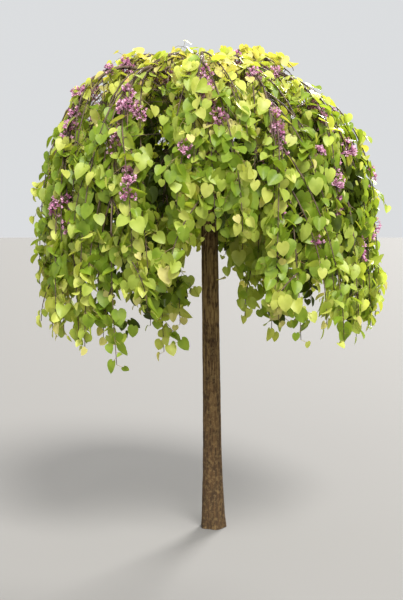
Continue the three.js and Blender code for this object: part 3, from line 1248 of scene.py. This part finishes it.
@dataclass
class Branchwork:
    """All that grows on the limbs: stems, twigs by the source's rule, spurs and old brushwood."""

    limbs: list[Limb]
    rng: Rng
    twig_radii: Span = (3.8, 1.6)
    hang_on: float = 45
    twig_first: float = 0.18
    stem_first: float = 0.72
    spur_radii: Span = (1.4, 0.8)
    spur_first: float = 0.25
    spur_spacing: float = 92
    spur_spray: int = 4
    spur_length: Span = (50, 135)
    spur_course: tuple[Span, ...] = ((0, 0), (0.4, 0), (0.8, 0.06), (0.95, 0.3))
    spur_along: float = 0.55
    spur_aside: Span = (0.35, 0.9)
    spur_out: Span = (-1.0, -0.1)
    spur_lift: Span = (-0.4, 0.1)
    stray_share: float = 0.14
    stray_out: float = 0.6
    crest: Span = (2080, 90)
    crest_lift: float = 0.65
    trunk_room: float = 75
    brush_count: int = 1000
    brush_span: Span = (0.08, 0.6)
    brush_length: Span = (110, 330)
    brush_course: tuple[Span, ...] = ((0, 0), (0.35, 0), (0.7, 0.05), (1, 0.25))
    brush_along: float = 0.3
    brush_loose: float = 0.6
    brush_in: float = 0.8
    brush_down: float = 0.3
    brush_bend: float = 0.06
    brush_radii: Span = (2.0, 0.7)
    brush_floor: float = 1500
    brush_depth: float = 0.02
    relief: Span = (0.45, 0.3)
    relief_step: float = 0.618
    gap_count: int = 480
    gap_span: Span = (0.3, 0.95)
    gap_radius: Span = (26, 52)

    def __post_init__(self) -> None:
        """Grows the stems, then the twigs, then the spurs on both, and bare brushwood inside."""
        self.stems = self.grown_stems()
        self.twigs = self.grown_twigs()
        self.wood = Shoots.joined(self.stems, self.twigs)
        self.spurs = self.grown_spurs()
        self.brush = self.grown_brush()

    def hung(self, limb: Limb, corners: Array) -> Array:
        """Lets a shoot's tip down, as its last leaves are shorter than the solids'.

        Args:
            limb: the limb that bears it.
            corners: the four corners of its curve.

        Returns:
            The corners; those of the crown stay as they are.
        """
        lower = corners.copy()
        if limb.storey is not CROWN:
            lower[3] -= self.hang_on * UP
        return lower

    def grown_stems(self) -> Shoots:
        """Takes each limb as one long shoot, with leaves from the last stretch of its bough on.

        Returns:
            The stems.
        """
        corners = np.stack([self.hung(limb, limb.corners) for limb in self.limbs])
        first = np.array([limb.storey.bough_share * self.stem_first for limb in self.limbs])
        inside = np.array([float(limb.storey is INNER) for limb in self.limbs])
        radii = np.array([(limb.storey.bough_radius[0], self.twig_radii[1]) for limb in self.limbs])
        return Shoots(corners, radii, first, inside)

    def grown_twigs(self) -> Shoots:
        """Grows the solids' own twigs and the finer ones between them.

        Returns:
            The twigs.
        """
        grown = [
            (self.hung(limb, GROWTH.twig(limb, number)), float(limb.storey is INNER))
            for limb in self.limbs
            for number in range(limb.storey.own.count + limb.storey.fine.count)
        ]
        corners, inside = map(np.array, zip(*grown))
        radii = np.tile(self.twig_radii, (len(grown), 1))
        return Shoots(corners, radii, np.full(len(grown), self.twig_first), inside)

    def grown_spurs(self) -> Shoots:
        """Grows short side shoots that leave the wood sideways: up on the crest, nodding elsewhere.

        Returns:
            The spurs.
        """
        nodes = Nodes.on(self.wood, self.spur_spacing, self.spur_spray, self.rng)
        outward, sideways = around(nodes.points)
        count = len(nodes.points)
        crest = rising(nodes.points[:, 2], *self.crest)
        aside = (nodes.side * self.rng.uniform(*self.spur_aside, count))[:, None]
        stray = self.rng.random(count) < self.stray_share
        out = np.where(stray, self.stray_out, self.rng.uniform(*self.spur_out, count))[:, None]
        rise = self.rng.uniform(0, self.crest_lift, count) * crest
        lift = (self.rng.uniform(*self.spur_lift, count) + rise)[:, None]
        heading = self.spur_along * nodes.along + aside * sideways + out * outward + lift * UP
        length = self.rng.uniform(*self.spur_length, count)[:, None]
        corners = nodding(nodes.points, unit(heading), length, self.spur_course)
        radii = np.tile(self.spur_radii, (count, 1))
        first = np.full(count, self.spur_first)
        grown = Shoots(corners, radii, first, self.wood.inside[nodes.shoot])
        return grown.chosen((nodes.left > 0) & off_trunk(corners[:, 3], self.trunk_room))

    def grown_brush(self) -> Shoots:
        """Grows old bare twiglets that leave the wood inward, any way round, with drooping tips.

        Returns:
            The brushwood.
        """
        count = self.brush_count
        owner = drawn(self.rng, self.wood.runs()[:, -1], count)
        share = self.rng.uniform(*self.brush_span, count)
        root = self.wood.at(owner, share)
        outward, _ = around(root)
        loose = self.rng.normal(0, self.brush_loose, (count, 3))
        heading = self.brush_along * self.wood.along(owner, share) + loose
        heading = unit(heading - self.brush_in * outward - self.brush_down * UP)
        length = self.rng.uniform(*self.brush_length, (count, 1))
        bent = self.rng.normal(0, self.brush_bend, (2, count, 3)) * length
        corners = nodding(root, heading, length, self.brush_course, (0, *bent, 0))
        kept = off_trunk(corners[:, 1:], self.trunk_room).all(axis=1)
        kept &= corners[:, 3, 2] > self.brush_floor
        for corner in (2, 3):
            depth = DOME.nearness(root) - DOME.nearness(corners[:, corner])
            kept &= depth > self.brush_depth * corner
        none = np.zeros(count)
        return Shoots(corners, np.tile(self.brush_radii, (count, 1)), none, none).chosen(kept)

    def openings(self, rng: Rng) -> Openings:
        """Places gaps between sprays by chance along the wood, where the shaded inside shows.

        Args:
            rng: the random numbers that place them.

        Returns:
            The gaps.
        """
        lengths = self.wood.runs()[:, -1] * (1 - self.wood.inside)
        owner = drawn(rng, lengths, self.gap_count)
        middles = self.wood.at(owner, rng.uniform(*self.gap_span, self.gap_count))
        return Openings(middles, rng.uniform(*self.gap_radius, self.gap_count))

    def build(self, solids: list[str]) -> list[Piece]:
        """Makes the twigs with the brushwood, and the spurs.

        Args:
            solids: the nodes that they stand for.

        Returns:
            The two pieces.
        """
        twigs = self.twigs.surface(steps=14, sides=6)
        brush = self.brush.surface(steps=6, sides=3)
        faces = twigs.faces + [rows + len(twigs.points) for rows in brush.faces]
        points = np.concatenate([twigs.points, brush.points])
        middle, swing = self.relief
        relief = middle + swing * np.sin(np.arange(len(points)) * self.relief_step)
        wood = Surface(points, faces, {"relief": relief})
        spurs = self.spurs.surface(steps=5, sides=4)
        return [
            wood.dress("twigs", TWIG_BARK, solids, "young_bark"),
            spurs.dress("spurs", SPUR_SKIN, solids, "foliage"),
        ]


# ---- Blossom ----


@dataclass(frozen=True)
class Floret:
    """A pea-shaped floret one unit long: a raised middle petal, two wings and a two-sided keel.

    Each petal is a root, two sides and a tip, folded along the middle. The rows are forward,
    sideways and up from the cup.
    """

    banner: Petal = ((0.1, 0, 0.05), (0.45, -0.3, 0.6), (0.45, 0.3, 0.6), (0.3, 0, 0.95))
    wing: Petal = ((0.1, 0.05, 0.02), (0.3, 0.5, 0.42), (0.85, 0.32, 0.08), (0.72, 0.75, 0.32))
    keel: Petal = ((0.1, 0, -0.06), (0.5, -0.02, -0.42), (0.6, 0.28, -0.02), (1.05, 0.02, -0.16))

    def points(self) -> Array:
        """Lays out the five petals; the mirrored ones have their two sides exchanged.

        Returns:
            Their points, (20, 3).
        """
        petals = [np.array(self.banner)]
        for side in (np.array(self.wing), np.array(self.keel)):
            petals += [side, side[[0, 2, 1, 3]] * [1, -1, 1]]
        return np.concatenate(petals)

    def faces(self) -> Array:
        """Two triangles for each of five petals of four points, folded from root to tip."""
        return repeated([np.array([[0, 1, 3], [0, 3, 2]])], 4, 5)[0]


@dataclass
class Blossom:
    """Clusters of florets that sit straight on the limbs and older twigs, each on a short stalk.

    A floret's root is shifted along the wood within its cluster's stretch, and its heading is
    across the wood, any way round, with a pull outward.
    """

    wood: Shoots
    rng: Rng
    clusters: int = 140
    tries: int = 6
    inside_loss: float = 0.8
    florets: tuple[int, int] = (10, 34)
    stretch: Span = (32, 92)
    shift: float = 0.3
    lowest: float = 0.02
    low: Span = (1200, 650)
    low_share: float = 0.2
    top: Span = (1950, 160)
    top_share: float = 0.27
    span: Span = (0.2, 0.75)
    outward_pull: float = 0.7
    looseness: float = 0.25
    floret_length: float = 14
    floret_size: Span = (0.8, 1.15)
    nod: float = 0.25
    twist: float = 0.5
    pedicel: Span = (7, 30)
    pedicel_radius: float = 0.45
    cup_radius: float = 1.7
    cup_reach: float = 0.28
    rose_share: float = 0.36
    opening: float = 44
    opening_ahead: float = 0.5
    floret: Floret = Floret()

    def __post_init__(self) -> None:
        """Finds each cluster's place on the wood, and each floret's root, heading and size."""
        lengths = self.wood.runs()[:, -1]
        owner, place = self.placed(lengths)
        self.middles = self.wood.at(owner, place)
        counts = self.rng.integers(*self.florets, self.clusters)
        cluster = np.repeat(np.arange(self.clusters), counts)
        owner, count = owner[cluster], len(cluster)
        stretch = self.rng.uniform(*self.stretch, self.clusters)[cluster]
        shift = self.rng.normal(0, self.shift, count) * stretch / lengths[owner]
        share = np.clip(place[cluster] + shift, self.lowest, 1.0)
        self.root = self.wood.at(owner, share)
        outward, _ = around(self.root)
        spin = square(self.rng.normal(0, 1, (count, 3)), self.wood.along(owner, share))
        loose = self.rng.normal(0, self.looseness, (count, 3))
        self.heading = unit(spin + self.outward_pull * outward + loose)
        self.base = self.root + self.rng.uniform(*self.pedicel, count)[:, None] * self.heading
        self.size = self.floret_length * self.rng.uniform(*self.floret_size, count)
        self.rose = self.rng.random(count) < self.rose_share

    def placed(self, lengths: Array) -> tuple[Array, Array]:
        """Chooses where the clusters sit.

        They fall on the wood by chance, most on thick wood and high up, but fewer on the very
        crest, where the new leaves are.

        Args:
            lengths: how long each shoot of the wood is.

        Returns:
            Each cluster's shoot, and its share of that shoot.
        """
        chances = lengths * self.wood.radii[:, 0] ** 2 * (1 - self.inside_loss * self.wood.inside)
        tried = self.tries * self.clusters
        owner = drawn(self.rng, chances, tried)
        place = self.rng.uniform(*self.span, tried)
        height = self.wood.at(owner, place)[:, 2]
        chances = mix(self.low_share, 1.0, rising(height, *self.low))
        chances *= mix(1.0, self.top_share, rising(height, *self.top))
        chosen = drawn(self.rng, chances, self.clusters, again=False)
        return owner[chosen], place[chosen]

    def openings(self) -> Openings:
        """Leaves room in front of the clusters.

        Returns:
            The spaces.
        """
        outward, _ = around(self.middles)
        middles = self.middles + self.opening_ahead * self.opening * outward
        return Openings(middles, np.full(len(middles), self.opening))

    def petals(self, chosen: Array) -> Surface:
        """The florets of one tone, each turned at random about its heading.

        Args:
            chosen: which of the florets they are.

        Returns:
            Their petals as one surface.
        """
        count = int(chosen.sum())
        forward = unit(self.heading[chosen] - self.nod * UP)
        raised = square(self.rng.normal(0, self.twist, (count, 3)) + UP, forward)
        axes = np.stack([forward, np.cross(raised, forward), raised], axis=1)
        local = self.floret.points() * self.size[chosen][:, None, None]
        points = (self.base[chosen][:, None] + local @ axes).reshape(-1, 3)
        return Surface(points, repeated([self.floret.faces()], local.shape[1], count))

    def cups(self) -> Surface:
        """Swells each stalk into the wine-dark cup that holds the floret.

        Returns:
            The stalks with their cups.
        """
        end = self.base + self.cup_reach * self.size[:, None] * self.heading
        radii = np.tile([self.pedicel_radius, self.cup_radius], (len(end), 1))
        return tubes(np.stack([self.root, end], axis=1), radii, 3)

    def build(self, solids: list[str]) -> list[Piece]:
        """Makes the open florets, the rose ones, and the cups with their stalks.

        Args:
            solids: the nodes that they stand for.

        Returns:
            The three pieces.
        """
        made = {
            PetalTone.OPEN: self.petals(~self.rose),
            PetalTone.ROSE: self.petals(self.rose),
            PetalTone.CUP: self.cups(),
        }
        return [
            surface.dress(f"blossom_{tone.name.lower()}", tone.value, solids, "blossom")
            for tone, surface in made.items()
        ]


# ---- Leaves ----


@dataclass(frozen=True)
class Blade:
    """The heart-shaped leaf as a surface of two parameters.

    s goes from 0 at the base rim to 1 at the tip, and v from -1 to 1 across. The blade reaches
    half_width * cos(90 degrees * s^taper)^fullness of its length to each side, and rim times that
    at the base. Each row lies s of the length below the leafstalk and bows up by lobe * (1 - s)^3
    * sin(180 degrees * |v|^notch), which makes the heart's two lobes and the notch between them.
    """

    rows: tuple[float, ...] = (0.0, 0.2, 0.48, 0.76)
    columns: tuple[float, ...] = (-1.0, -0.68, -0.34, 0.0, 0.34, 0.68, 1.0)
    half_width: float = 0.5
    taper: float = 1.6
    fullness: float = 0.9
    rim: float = 0.84
    lobe: float = 0.15
    notch: float = 0.8
    pleat: float = 0.012
    waves: float = 7

    def faces(self) -> list[Array]:
        """Joins the blade's points.

        Returns:
            Its quads, and the triangles that meet at its tip.
        """
        width = len(self.columns)
        row = np.arange(len(self.rows) - 1)[:, None]
        corner = row * width + np.arange(width - 1)
        quads = np.stack([corner, corner + width, corner + width + 1, corner + 1], axis=-1)
        last = (len(self.rows) - 1) * width + np.arange(width - 1)
        tip = np.full(width - 1, len(self.rows) * width)
        return [quads.reshape(-1, 4), np.stack([last, tip, last + 1], axis=-1)]

    def shape(self, fold: Array, curl: Array, wave: Array, phase: Array) -> Array:
        """Points of blades one unit long, as across, down and forward of the leafstalk's end.

        The sides fold forward by fold * |across|, the blade bends back by curl * s^2, the margin
        waves by wave * sin(phase + waves * s) * v^2, and pleats along the main veins alternate by
        pleat * (1 - s) from column to column.

        Args:
            fold: how steeply the sides fold, a column of one number a leaf, as are the next three.
            curl: how far the tip curls.
            wave: how deep the margin's wave is.
            phase: where that wave begins.

        Returns:
            (leaves, points, 3).
        """
        s = np.append(np.repeat(self.rows, len(self.columns)), 1.0)
        v = np.append(np.tile(self.columns, len(self.rows)), 0.0)
        narrowing = np.maximum(np.cos(0.5 * math.pi * s**self.taper), 0)
        width = self.half_width * narrowing**self.fullness
        bow = self.lobe * (1 - s) ** 3 * np.sin(math.pi * np.abs(v) ** self.notch)
        across = np.broadcast_to(v * width * np.where(s == 0, self.rim, 1.0), (len(fold), len(s)))
        down = np.broadcast_to(s - bow, across.shape)
        side = np.where(np.arange(len(self.columns)) % 2, -1, 1)
        pleat = self.pleat * (1 - s) * np.append(np.tile(side, len(self.rows)), 0)
        margin = wave * np.sin(phase + self.waves * s) * v**2
        forward = fold * np.abs(across) - curl * s**2 + margin + pleat
        return np.stack([across, down, forward], axis=-1)


@dataclass
class Foliage:
    """Every leaf of the tree, on its stalk, dealt out to tones by spray."""

    shoots: Shoots
    openings: list[Openings]
    rng: Rng
    spacing: float = 20
    spray: int = 5
    length: float = 51
    length_spread: float = 0.22
    length_limits: Span = (0.55, 1.35)
    newest: Span = (0.64, 0.82)
    crest: Span = (1900, 260)
    crest_size: float = 0.86
    middle: float = 0.45
    belt_height: float = 1930
    belt_half: float = 230
    belt_kept: float = 0.62
    belt_skin: Span = (0.7, 0.15)
    stalk: Span = (14, 32)
    stalk_radius: float = 0.9
    stalk_hold: float = 3
    stalk_along: float = 0.4
    stalk_aside: Span = (0.4, 1.0)
    stalk_out: Span = (-0.6, 0.4)
    stalk_lift: Span = (-0.1, 0.4)
    stalk_crest_lift: float = 0.2
    face_looseness: float = 0.58
    rib_along: float = 0.25
    rib_hang: float = -0.95
    rib_crest_lift: float = 0.8
    rib_chance: Span = (0, 1.2)
    rib_aside: float = 0.5
    rib_out: Span = (-0.2, 0.3)
    trunk_room: float = 62
    fold: Span = (0.0, 0.5)
    curl: Span = (0.0, 0.34)
    wave: Span = (0.0, 0.035)
    spray_chance: float = 0.22
    leaf_chance: float = 0.1
    # Weights of the tone score: high up is partly painted light and partly young growth, the outer
    # skin is painted light and the tips are young leaves; under the crown the shaded shoots get
    # painted light low down and painted shade high up.
    high_weight: float = 0.45
    outer_weight: float = 0.6
    outer_skin: Span = (0.66, 0.3)
    tip_weight: float = 0.38
    tip_nodes: float = 2.5
    under: Span = (1450, 200)
    under_weights: Span = (0.6, 0.65)
    tone_cuts: tuple[float, ...] = (0.24, 0.48, 0.72, 0.92)
    bronze_share: float = 0.35
    bronze_height: float = 0.1
    sunlit: float = 0.86
    blade: Blade = Blade()

    def __post_init__(self) -> None:
        """Finds each leaf's stalk, the directions of its rib and face, its size and its tone."""
        self.nodes = Nodes.on(self.shoots, self.spacing, self.spray, self.rng)
        self.high = rising(self.nodes.points[:, 2], *self.crest)
        self.point_stalks()
        self.face_blades()
        newest = np.select([self.nodes.left == 0, self.nodes.left == 1], self.newest, 1.0)
        spread = self.rng.normal(1, self.length_spread, len(self.high)).clip(*self.length_limits)
        self.size = self.length * newest * spread * mix(1.0, self.crest_size, self.high)
        self.clear_openings()
        self.deal_tones()

    def point_stalks(self) -> None:
        """Lets stalks leave the shoot forward and to alternate sides, so it shows between them."""
        outward, sideways = around(self.nodes.points)
        count = len(outward)
        side = (self.nodes.side * self.rng.uniform(*self.stalk_aside, count))[:, None]
        out = self.rng.uniform(*self.stalk_out, count)[:, None]
        lift = self.rng.uniform(*self.stalk_lift, count) + self.stalk_crest_lift * self.high
        heading = self.stalk_along * self.nodes.along + side * sideways + out * outward
        length = self.rng.uniform(*self.stalk, count)[:, None]
        self.base = self.nodes.points + unit(heading + lift[:, None] * UP) * length

    def face_blades(self) -> None:
        """Faces blades out of the crown's dome, loosely, and hangs them tip down unless high up."""
        outward, sideways = around(self.nodes.points)
        count = len(outward)
        loose = self.rng.normal(0, self.face_looseness, (count, 3))
        self.face = unit(DOME.outward(self.nodes.points) + loose)
        lift = self.rib_crest_lift * self.high * self.rng.uniform(*self.rib_chance, count)
        aside = self.rng.normal(0, self.rib_aside, count)[:, None]
        out = self.rng.uniform(*self.rib_out, count)[:, None]
        rib = self.rib_along * self.nodes.along + (self.rib_hang + lift)[:, None] * UP
        self.rib = square(rib + aside * sideways + out * outward, self.face)

    def clear_openings(self) -> None:
        """Drops the leaves that would hang in the trunk or in front of blossom and bare limbs.

        Under the crest a belt of the skin is thinner too, as old wood bears fewer leaves.
        """
        middle = self.base + self.middle * self.size[:, None] * self.rib
        off_belt = ease(np.abs(middle[:, 2] - self.belt_height) / self.belt_half)
        outer = rising(DOME.nearness(middle), *self.belt_skin)
        thinned = outer * (1 - self.belt_kept) * (1 - off_belt)
        clear = off_trunk(self.nodes.points, self.trunk_room)
        clear &= self.rng.random(len(middle)) > thinned
        for opening in self.openings:
            clear &= opening.clear(middle, self.rng)
        self.nodes = self.nodes.chosen(clear)
        for name in ("high", "base", "face", "rib", "size"):
            setattr(self, name, getattr(self, name)[clear])

    def deal_tones(self) -> None:
        """Deals a tone to each spray: paler high up, partly as painted light and partly for the
        young growth there, paler as painted light on the crown's lit skin, paler near the tips,
        where the leaves are young, and darker deep inside as painted shade.

        A spray's score adds how high, how far outside and how near its shoot's tip it is, and its
        own chance. A shaded shoot under the crown loses a little high up, as painted shade, and
        gains low down, as painted light glowing under the arch. The scores are cut at fixed shares
        of all the leaves. No leaf on the sunlit skin is of the shade tone, and bronze ones are at
        high tips only.
        """
        count = len(self.base)
        order, spray = np.unique(self.nodes.spray, return_inverse=True)
        chance = self.rng.normal(0, self.spray_chance, len(order))[spray]
        chance = chance + self.rng.normal(0, self.leaf_chance, count)
        # Painted light and shade: outside is nearness to the crown's lit skin, and deep gives the
        # shaded shoots under the crown painted light low down and painted shade high up.
        outside = rising(DOME.nearness(self.nodes.points), *self.outer_skin)
        near_tip = np.exp(-self.nodes.left / self.tip_nodes)
        always, above = self.under_weights
        loss = above * rising(self.nodes.points[:, 2], *self.under) - always
        deep = self.shoots.inside[self.nodes.shoot] * loss
        score = self.high_weight * self.high + self.outer_weight * outside
        score = score + self.tip_weight * near_tip - deep + chance
        self.tone = np.searchsorted(np.quantile(score, self.tone_cuts), score)
        lit = outside > self.sunlit
        self.tone[lit] = np.maximum(self.tone[lit], 1)
        flushed = (self.nodes.left == 0) & (self.rng.random(count) < self.bronze_share)
        flushed &= self.high > self.bronze_height
        self.tone[flushed] = list(LeafTone).index(LeafTone.BRONZE)

    def blades(self) -> Array:
        """Shapes every leaf by chance, sizes it, and turns it to its own face and rib.

        Returns:
            The points, (leaves, points, 3).
        """
        spans = (self.fold, self.curl, self.wave, (0, TURN))
        local = self.blade.shape(*(self.rng.uniform(*span, (len(self.base), 1)) for span in spans))
        axes = np.stack([np.cross(self.face, self.rib), self.rib, self.face], axis=1)
        return self.base[:, None] + (local * self.size[:, None, None]) @ axes

    def stalks(self) -> Surface:
        """Leafstalks: thin tubes from the shoot into the leaf's rib."""
        ends = np.stack([self.nodes.points, self.base + self.stalk_hold * self.rib], axis=1)
        return tubes(ends, np.full(ends.shape[:2], self.stalk_radius), 3)

    def build(self, solids: list[str]) -> list[Piece]:
        """Makes one piece a tone, and the stalks.

        Args:
            solids: the nodes that they stand for.

        Returns:
            The pieces.
        """
        blades = self.blades()
        pieces = []
        for number, tone in enumerate(LeafTone):
            chosen = blades[self.tone == number]
            faces = repeated(self.blade.faces(), chosen.shape[1], len(chosen))
            surface = Surface(chosen.reshape(-1, 3), faces)
            name = f"leaves_{tone.name.lower()}"
            pieces.append(surface.dress(name, tone.value, solids, "foliage"))
        return pieces + [self.stalks().dress("leafstalks", STALK_SKIN, solids, "foliage")]


# ---- The stage ----


@dataclass(frozen=True)
class Sun:
    """A far lamp, turned from straight down by Euler angles, whose disc is softness wide."""

    name: str
    strength: float
    turn: Place
    softness: float
    colour: Place = (1.0, 0.98, 0.95)

    def build(self) -> None:
        """Adds the lamp to the scene."""
        light = bpy.data.lights.new(self.name, "SUN")
        light.energy = self.strength
        light.angle = math.radians(self.softness)
        light.color = self.colour
        linked(self.name, light).rotation_euler = np.radians(self.turn)


@dataclass(frozen=True)
class Studio:
    """A plain pale floor, a pale sky and soft suns, and the camera of a standing viewer."""

    floor_radius: float = 60000
    floor_corners: int = 96
    floor_drop: float = 0.5
    floor_colour: str = "6c6b69"
    sky_colour: str = "e6e8ea"
    sky_strength: float = 0.9
    suns: tuple[Sun, ...] = (
        Sun("key_sun", 6.7, (40, 0, 24), 24),
        Sun("front_fill", 1.4, (72, 0, -20), 60),
        Sun("back_sun", 6.5, (-60, 0, -24), 20),
    )
    eye: Place = (-0.056, -5.0, 1.5)
    tilt: float = 4.7
    lens: float = 63.84
    sensor: float = 36

    def build_floor(self) -> None:
        """A wide flat disc, like smooth plaster."""
        corners = self.floor_corners
        angles = np.arange(corners) * TURN / corners
        rim = np.stack([np.cos(angles), np.sin(angles), 0 * angles], axis=-1)
        points = np.concatenate([rim * self.floor_radius, [[0, 0, 0]]]) - self.floor_drop * UP
        ring = np.arange(corners)
        faces = np.stack([ring, (ring + 1) % corners, np.full(corners, corners)], axis=-1)
        finish, tree = emptied(bpy.data.materials.new("pale_plaster"))
        colour = linear(self.floor_colour)
        dull = {"Base Color": colour, "Roughness": 0.9, "Specular IOR Level": 0.2}
        add(tree, "OutputMaterial", None, {"Surface": add(tree, "BsdfPrincipled", "BSDF", dull)})
        floor = Surface(points, [faces]).build("floor", finish)

    def build_light(self) -> None:
        """An even pale sky, and the suns: a key on the right, a weak fill in front, one behind."""
        bpy.context.scene.world, tree = emptied(bpy.data.worlds.new("pale_sky"))
        even = {"Color": linear(self.sky_colour), "Strength": self.sky_strength}
        add(tree, "OutputWorld", None, {"Surface": add(tree, "Background", "Background", even)})
        for sun in self.suns:
            sun.build()

    def build_camera(self) -> None:
        """A level standing view, tipped down a little to take in the whole tree."""
        camera = bpy.data.cameras.new("viewer")
        camera.lens = self.lens
        camera.sensor_width = self.sensor
        camera.dof.use_dof = False
        viewer = linked("viewer", camera)
        viewer.location = self.eye
        viewer.rotation_euler = (math.radians(90 - self.tilt), 0, 0)
        bpy.context.scene.camera = viewer

    def build(self) -> None:
        """Makes the floor, the lights and the camera."""
        self.build_floor()
        self.build_light()
        self.build_camera()
        bpy.context.scene.view_settings.view_transform = "Standard"


# ---- The tree ----


def main() -> None:
    """Builds the stage and then the tree, from its trunk out to its leaves and blossom."""
    logging.basicConfig(level=logging.INFO, format="%(message)s")
    Studio().build()
    storeys = (OUTER, CROWN, INNER)
    limbs = [GROWTH.limb(storey, index) for storey in storeys for index in range(storey.count)]
    solids = [f"foliage_{limb.name}" for limb in limbs]
    pieces = Trunk().build()
    branchwork = Branchwork(limbs, np.random.default_rng(WOOD_SEED))
    bare = Limbs(limbs)
    pieces += bare.build(branchwork.stems.corners)
    pieces += branchwork.build(solids)
    blossom = Blossom(branchwork.wood, np.random.default_rng(BLOSSOM_SEED))
    pieces += blossom.build(solids)
    shoots = Shoots.joined(branchwork.wood, branchwork.spurs)
    rng = np.random.default_rng(LEAF_SEED)
    openings = [blossom.openings(), bare.openings(), branchwork.openings(rng)]
    pieces += Foliage(shoots, openings, rng).build(solids)
    for piece in pieces:
        triangles = len(piece.data.loops) - 2 * len(piece.data.polygons)
        LOG.info("%s: %d triangles", piece.name, triangles)


if __name__ == "__main__":
    main()
